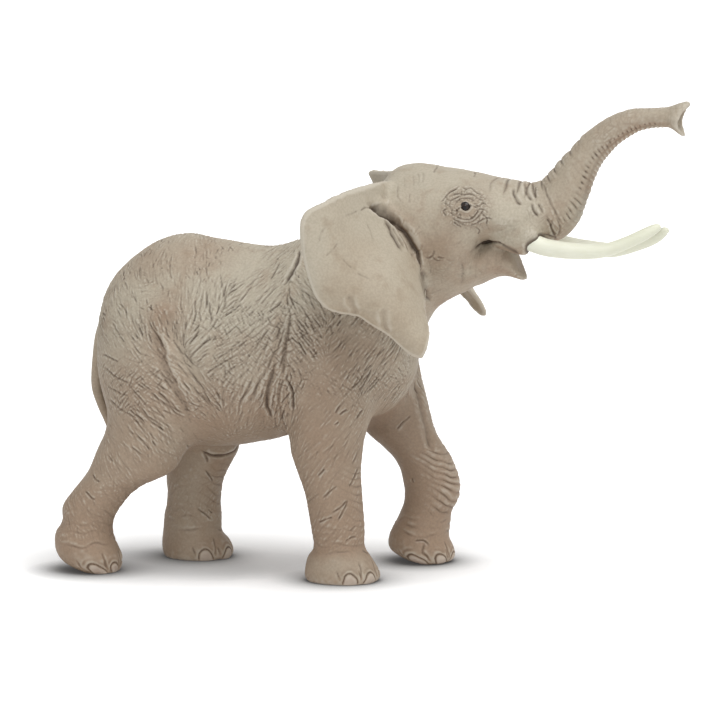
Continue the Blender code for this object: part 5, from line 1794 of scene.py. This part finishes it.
def add_skin(hide):
    """The skin in one closed piece, or two, for each CAD node it stands for."""
    skin, names = finished_skin()
    normals = normals_of(skin.points, skin.quads)
    edges = edges_of(skin.quads)
    flat = relaxed(skin.points, edges, 0.5, 22)
    proud = ((skin.points - flat) * normals).sum(axis=1)
    # shade carries the coat's brown tint, painted shade under and between parts, and painted light
    # below 0.
    shade = shaded_places(skin, normals)
    crease = np.clip(skin.crease + smoothstep(0.03, 0.22, -proud) * 0.45, 0, 1)
    # Painted shade in the gaps round the tusks and beside the tail, and inside the left front leg,
    # is held as wash.
    crease = np.maximum(crease, painted_shade_wash(skin))
    # Painted highlight: the ears' rims are made paler through the dry brush.
    proud = proud + 0.2 * ear_rim_highlight(skin.points) - placed(skin, UNBRUSHED)
    brushed_and_highlit = np.clip(proud / 0.16, 0, 1)
    values = dict(zip(SKIN_LAYERS, (crease, brushed_and_highlit, skin.nail, shade)))
    slots = {row["node"]: row["material_slot"] for row in frame["record"]["subparts"]}
    middles = skin.points[skin.quads][:, :, 0].mean(axis=1)
    for name in map(str, np.unique(names)):
        slot = slots[name]
        own_faces = names == name
        cut, rear, front = PARTED.get(name, (None, f"{name}_skin", None))
        parts = [(rear, own_faces)]
        if front:
            parts = [(rear, own_faces & (middles < cut)), (front, own_faces & (middles >= cut))]
        for part, chosen in parts:
            made = closed_piece(skin.points, normals, skin.quads[chosen], values)
            points, ways, faces, own = made
            piece_object(part, points, faces, hide[slot], [name], own, ways)


# Where the dry brush leaves the chin alone, in the same columns as BROWN_SHADE_AND_LIGHT_PLACES.
UNBRUSHED = ((496, 264, 30, 16, 0, 0.16),)
# Where the paint is browner on both sides or, below 0, greyer, on the drawing: across, down,
# its two reaches, lean in degrees and amount. Some are the coat's own brown tint, as on the
# cheeks, round the eyes and on the trunk; some are painted shade, as on the shoulder in the
# ear's shadow; those below 0 are painted light on shaded legs, feet, flank and shoulder top.
BROWN_SHADE_AND_LIGHT_PLACES = (
    (348, 358, 44, 50, 0, 0.75),
    (318, 420, 34, 44, 0, 0.40),
    (438, 246, 34, 18, -20, 0.65),
    (484, 258, 34, 13, -12, 0.50),
    (502, 266, 18, 12, 0, 0.45),
    (412, 200, 18, 20, 0, 0.25),
    (404, 226, 26, 10, 48, 0.55),
    (466, 208, 22, 17, 0, 0.60),
    (482, 220, 14, 8, 20, 0.25),
    (556, 222, 14, 22, -20, 0.45),
    (590, 186, 24, 7, -58, 0.35),
    (628, 138, 34, 7, -34, 0.30),
    (572, 180, 44, 30, -52, 0.35),
    (640, 125, 60, 22, -14, 0.40),
    (160, 345, 11, 34, -20, 0.45),
    (168, 330, 30, 50, 0, 0.30),
    (306, 420, 30, 60, 0, 0.35),
    (335, 490, 40, 60, 0, 0.40),
    (135, 395, 40, 44, 0, 0.55),
    (105, 300, 18, 60, 12, 0.30),
    (215, 410, 60, 26, 0, 0.55),
    (272, 375, 20, 46, 8, 0.40),
    (205, 256, 34, 22, 0, 0.55),
    (163, 312, 14, 10, 0, 0.45),
    (215, 385, 30, 20, 0, 0.30),
    (340, 566, 38, 18, 0, -0.55),
    (95, 556, 30, 12, 0, -0.15),
    (181, 530, 24, 56, 0, -0.45),
    (292, 280, 26, 34, 0, -0.45),
    (240, 320, 34, 26, 0, -0.25),
    (400, 566, 30, 14, 0, -0.25),
    (522, 268, 9, 14, 0, 0.50),
    (150, 262, 34, 16, -36, 0.35),
    (238, 345, 26, 22, 0, 0.20),
    (372, 300, 46, 40, 20, 0.20),
    (352, 262, 30, 34, 20, 0.35),
)


def tube_gap(points, line):
    """How far points lie outside the tube round a line."""
    line = spline(line, 60)
    gaps = [np.linalg.norm(points - row[:3], axis=1) - row[3] for row in line]
    return np.min(gaps, axis=0)


def painted_shade_wash(skin):
    """Painted shade, held as wash: in the gap round each tusk and beside the tail, where shade
    falls between parts, and, thinly, inside the left front leg, in the figure's own shadow."""
    points = skin.points
    wash = np.zeros(len(points))
    close = np.flatnonzero((points[:, 0] > 124) & (points[:, 0] < 148) & (points[:, 2] < 118))
    for line in TUSKS.values():
        ring = 1 - smoothstep(0.4, 1.4, tube_gap(points[close], line))
        wash[close] = np.maximum(wash[close], ring)
    close = np.flatnonzero((points[:, 0] < 14) & (np.abs(points[:, 1]) < 8))
    wash[close] = np.maximum(
        wash[close], 0.9 * (1 - smoothstep(0.3, 1.6, tube_gap(points[close], TAIL)))
    )
    arm = skin.drawn[-1] - (402, 425)
    inside = np.exp(-((arm[:, 0] / 34) ** 2) - (arm[:, 1] / 40) ** 2) * (points[:, 1] > 2)
    return np.maximum(wash, 0.26 * inside)


def ear_rim_highlight(points):
    """Painted highlight along the ears' rims: 1 at their free edges, falling to 0 over 1.6 mm."""
    rim = np.zeros(len(points))
    for side in (-1, 1):
        near = np.flatnonzero((points[:, 1] * side > 24) & (points[:, 2] > 70))
        edges = [even_edge(rows[side], side, 90) for rows in (EAR_TOP, EAR_REAR, EAR_FRONT)]
        gap = np.full(len(near), 9.0)
        for place in np.concatenate(edges):
            np.minimum(gap, np.linalg.norm(points[near] - place, axis=1), out=gap)
        rim[near] = 1 - smoothstep(0.7, 1.6, gap)
    return rim


def shaded_places(skin, normals):
    """How brown the coat is: painted shade under the belly and low on the insides of the front
    legs, the brown tint, painted shade and painted light of the listed places, and uneven all over."""
    points = skin.points
    # Painted shade: faces turned downwards, and low on the insides of the front legs, turn browner.
    under = smoothstep(0.1, 0.8, -normals[:, 2])
    inner = smoothstep(0.0, 0.7, -normals[:, 1] * np.sign(points[:, 1]))
    low = 1 - smoothstep(35, 85, points[:, 2])
    total = 0.5 * under + inner * low * np.where(points[:, 0] > 60, 0.75, 0.0)
    # The listed places add brown tint, painted shade and, below 0, painted light.
    total += placed(skin, BROWN_SHADE_AND_LIGHT_PLACES)
    total += 0.18 * noise(points, 14, 81) + 0.10 * noise(points, 5, 82)
    return np.clip(total, -0.6, 1)


def add_tusks(ivory):
    """The tusks: tubes with a faintly uneven surface."""
    for name, rows in TUSKS.items():
        line = spline(rows, 120)
        points, faces = loft(tube_rings(line, 48))
        points = points + np.column_stack([noise(points, 5, 7 + k) * 0.05 for k in range(3)])
        piece_object(f"{name}_ivory", points, outward(points, faces), ivory, [name])


def add_eyes(material):
    """A ball whose front bulges a little: the iris swells out by a cosine of the angle."""
    lat = np.linspace(0, np.pi, 40)[1:-1, None]
    lon = np.linspace(0, 2 * np.pi, 64, endpoint=False)[None, :]
    for side, name in ((-1, "eye_right"), (1, "eye_left")):
        out = np.cos(lat) * np.ones_like(lon)
        x = np.sin(lat) * np.cos(lon)
        z = np.sin(lat) * np.sin(lon)
        bulge = 1 + 0.04 * smoothstep(0.7, 1.0, out)
        rings = np.stack((x, side * out, z), axis=-1) * EYE_RADIUS * bulge[..., None]
        points, faces = loft(rings + np.array((EYE[0], side * EYE[1], EYE[2])))
        away = np.arccos(np.clip((points[:, 1] * side - EYE[1]) / EYE_RADIUS, -1, 1))
        piece_object(
            f"{name}_ball", points, outward(points, faces), material, [name],
            {"iris": away},
        )


def add_tail(hide):
    """A tapered cord, faintly ringed, whose tip swells into a grooved tuft."""
    line = spline(TAIL, 260)
    rings = tube_rings(line, 64)
    run = np.linspace(0, 1, len(line))[:, None]
    turn = np.linspace(0, 2 * np.pi, 64, endpoint=False)[None, :]
    tuft = smoothstep(0.72, 0.9, run)
    grooves = np.abs(np.sin(turn * 5 + run * 9)) ** 0.5
    ring = np.abs(np.sin(run * 75 + 0.8 * np.sin(turn * 2)))
    valley = bell(ring, 0.3) * (1 - tuft)
    sink = 0.03 * valley + 0.28 * (1 - grooves) * tuft
    middle = line[:, None, :3]
    arm = rings - middle
    rings = middle + arm * (1 - sink / np.maximum(line[:, 3], 0.3)[:, None])[..., None]
    points, faces = loft(rings)
    dark = np.append((0.08 * valley + 0.8 * (1 - grooves) * tuft).ravel(), (0, 0))
    zero = np.zeros(len(points))
    values = dict(zip(SKIN_LAYERS, (dark, zero, zero, zero + 0.2)))
    faces = outward(points, faces)
    piece_object("tail_skin", points, faces, hide["torso_paint"], ["tail"], values)


def eye_rays(tree):
    """1 for rays that see the studio, straight, mirrored or through glass, and else 0."""
    rays = add(tree, "ShaderNodeLightPath").outputs
    seen = maths(tree, "MAXIMUM", rays["Is Camera Ray"], rays["Is Glossy Ray"])
    return maths(tree, "MAXIMUM", seen, rays["Is Transmission Ray"])


def floor_material():
    """White card as bright as the backdrop, darker in the figure's shadow, with a painted contact
    shadow close to it.
    """
    material, tree, _ = new_material("studio_floor")
    tree.nodes.clear()
    seen = eye_rays(tree)
    free = []
    # Painted contact shadow: ambient occlusion darkens the card's colour close to the figure, for
    # rays that see it.
    for reach, power in ((0.045, 1.7), (0.012, 1.8)):
        near = add(tree, "ShaderNodeAmbientOcclusion", {"Distance": reach}, samples=16)
        free.append(maths(tree, "POWER", near.outputs["AO"], power))
    painted_shadow = maths(tree, "SUBTRACT", 1.0, maths(tree, "MULTIPLY", *free))
    painted_shadow = maths(tree, "MULTIPLY", painted_shadow, maths(tree, "MULTIPLY", seen, 0.85))
    white = maths(tree, "MULTIPLY", maths(tree, "SUBTRACT", 1.0, painted_shadow), 0.97)
    card = add(tree, "ShaderNodeBsdfDiffuse", {"Color": white})
    strength = maths(tree, "MULTIPLY", seen, 0.28)
    glow = add(tree, "ShaderNodeEmission", {"Color": white, "Strength": strength})
    both = add(tree, "ShaderNodeAddShader", {0: card.outputs[0], 1: glow.outputs[0]})
    add(tree, "ShaderNodeOutputMaterial", {"Surface": both.outputs[0]})
    return material


def add_floor():
    """A wide level sheet, worked out as a grid."""
    half = 4000.0
    across = np.linspace(-half, half, 9)
    x, y = np.meshgrid(across, across, indexing="ij")
    points = np.column_stack((x.ravel(), y.ravel(), np.full(x.size, -0.02)))
    row, column = np.meshgrid(np.arange(8), np.arange(8), indexing="ij")
    corner = (row * 9 + column).ravel()
    faces = np.column_stack((corner, corner + 9, corner + 10, corner + 1))
    mesh = bpy.data.meshes.new("studio_floor")
    mesh.from_pydata(points * METRES, [], faces.tolist())
    mesh.materials.append(floor_material())
    in_scene("studio_floor", mesh)


def add_world():
    """White all round: full strength where the camera sees it, soft where it lights."""
    world = bpy.data.worlds.new("studio")
    world.use_nodes = True
    bpy.context.scene.world = world
    tree = world.node_tree
    tree.nodes.clear()
    inputs = {"Value": eye_rays(tree), "To Min": 0.52, "To Max": 1.0}
    strength = add(tree, "ShaderNodeMapRange", inputs).outputs["Result"]
    sky = add(tree, "ShaderNodeBackground", {"Strength": strength})
    add(tree, "ShaderNodeOutputWorld", {"Surface": sky.outputs[0]})


def add_lamp(name, way, strength, angle):
    """A sun that shines from the given way, softened over an angle in degrees."""
    data = bpy.data.lights.new(name, "SUN")
    data.energy = strength
    data.angle = math.radians(angle)
    lamp = in_scene(name, data)
    lamp.rotation_mode = "QUATERNION"
    lamp.rotation_quaternion = Vector(way).to_track_quat("Z", "Y")


def add_camera():
    """A camera square to the side drawing, far off, whose frame is the whole drawing."""
    data = bpy.data.cameras.new("camera")
    data.type = "ORTHO"
    data.ortho_scale = DRAWING_SIZE * STEP * METRES
    data.clip_end = 10
    camera = in_scene("camera", data)
    right = Vector((math.cos(DRAWING_TURN), math.sin(DRAWING_TURN), 0))
    back = Vector(DRAWING_BACK)
    up = back.cross(right)
    across = (DRAWING_SIZE / 2 - DRAWING_ZERO[0]) * STEP
    rise = (DRAWING_ZERO[1] - DRAWING_SIZE / 2) * STEP
    zero = Vector((DRAWING_X, 0, 0)) - Vector(ORIGIN)
    middle = (zero + right * across + up * rise) * METRES
    camera.location = middle + back * 1.5
    camera.rotation_mode = "QUATERNION"
    camera.rotation_quaternion = back.to_track_quat("Z", "Y")
    bpy.context.scene.camera = camera


def hide_materials():
    """The four paints of the hide, which differ in their tones alone."""
    group = hide_paint_group()
    body = {"Upper Coat": (0.44, 0.392, 0.308, 1), "Lower Coat": (0.308, 0.221, 0.154, 1)}
    ear = {"Upper Coat": (0.435, 0.385, 0.302, 1), "Lower Coat": (0.325, 0.252, 0.175, 1)}
    ear.update({"Low Height": 0.06, "High Height": 0.12})
    tones = {"torso_paint": body, "head_paint": body, "ear_paint": ear, "leg_paint": body}
    return {slot: hide_material(slot, group, values, 0.5) for slot, values in tones.items()}


def build_scene():
    """The figure, the floor, the light and the camera."""
    hide = hide_materials()
    add_skin(hide)
    add_tail(hide)
    add_tusks(ivory_material())
    add_eyes(eye_material())
    add_floor()
    add_world()
    add_lamp("key", (0.36, -0.12, 1.0), 1.75, 44)
    add_lamp("fill", (0.25, -1.0, 0.4), 0.75, 90)
    add_lamp("glint", (0.1, -0.7, 0.75), 0.2, 12)
    add_lamp("left_fill", (-0.1, 1.0, 0.4), 0.3, 90)
    add_camera()
    bpy.context.scene.view_settings.view_transform = "Standard"


build_scene()
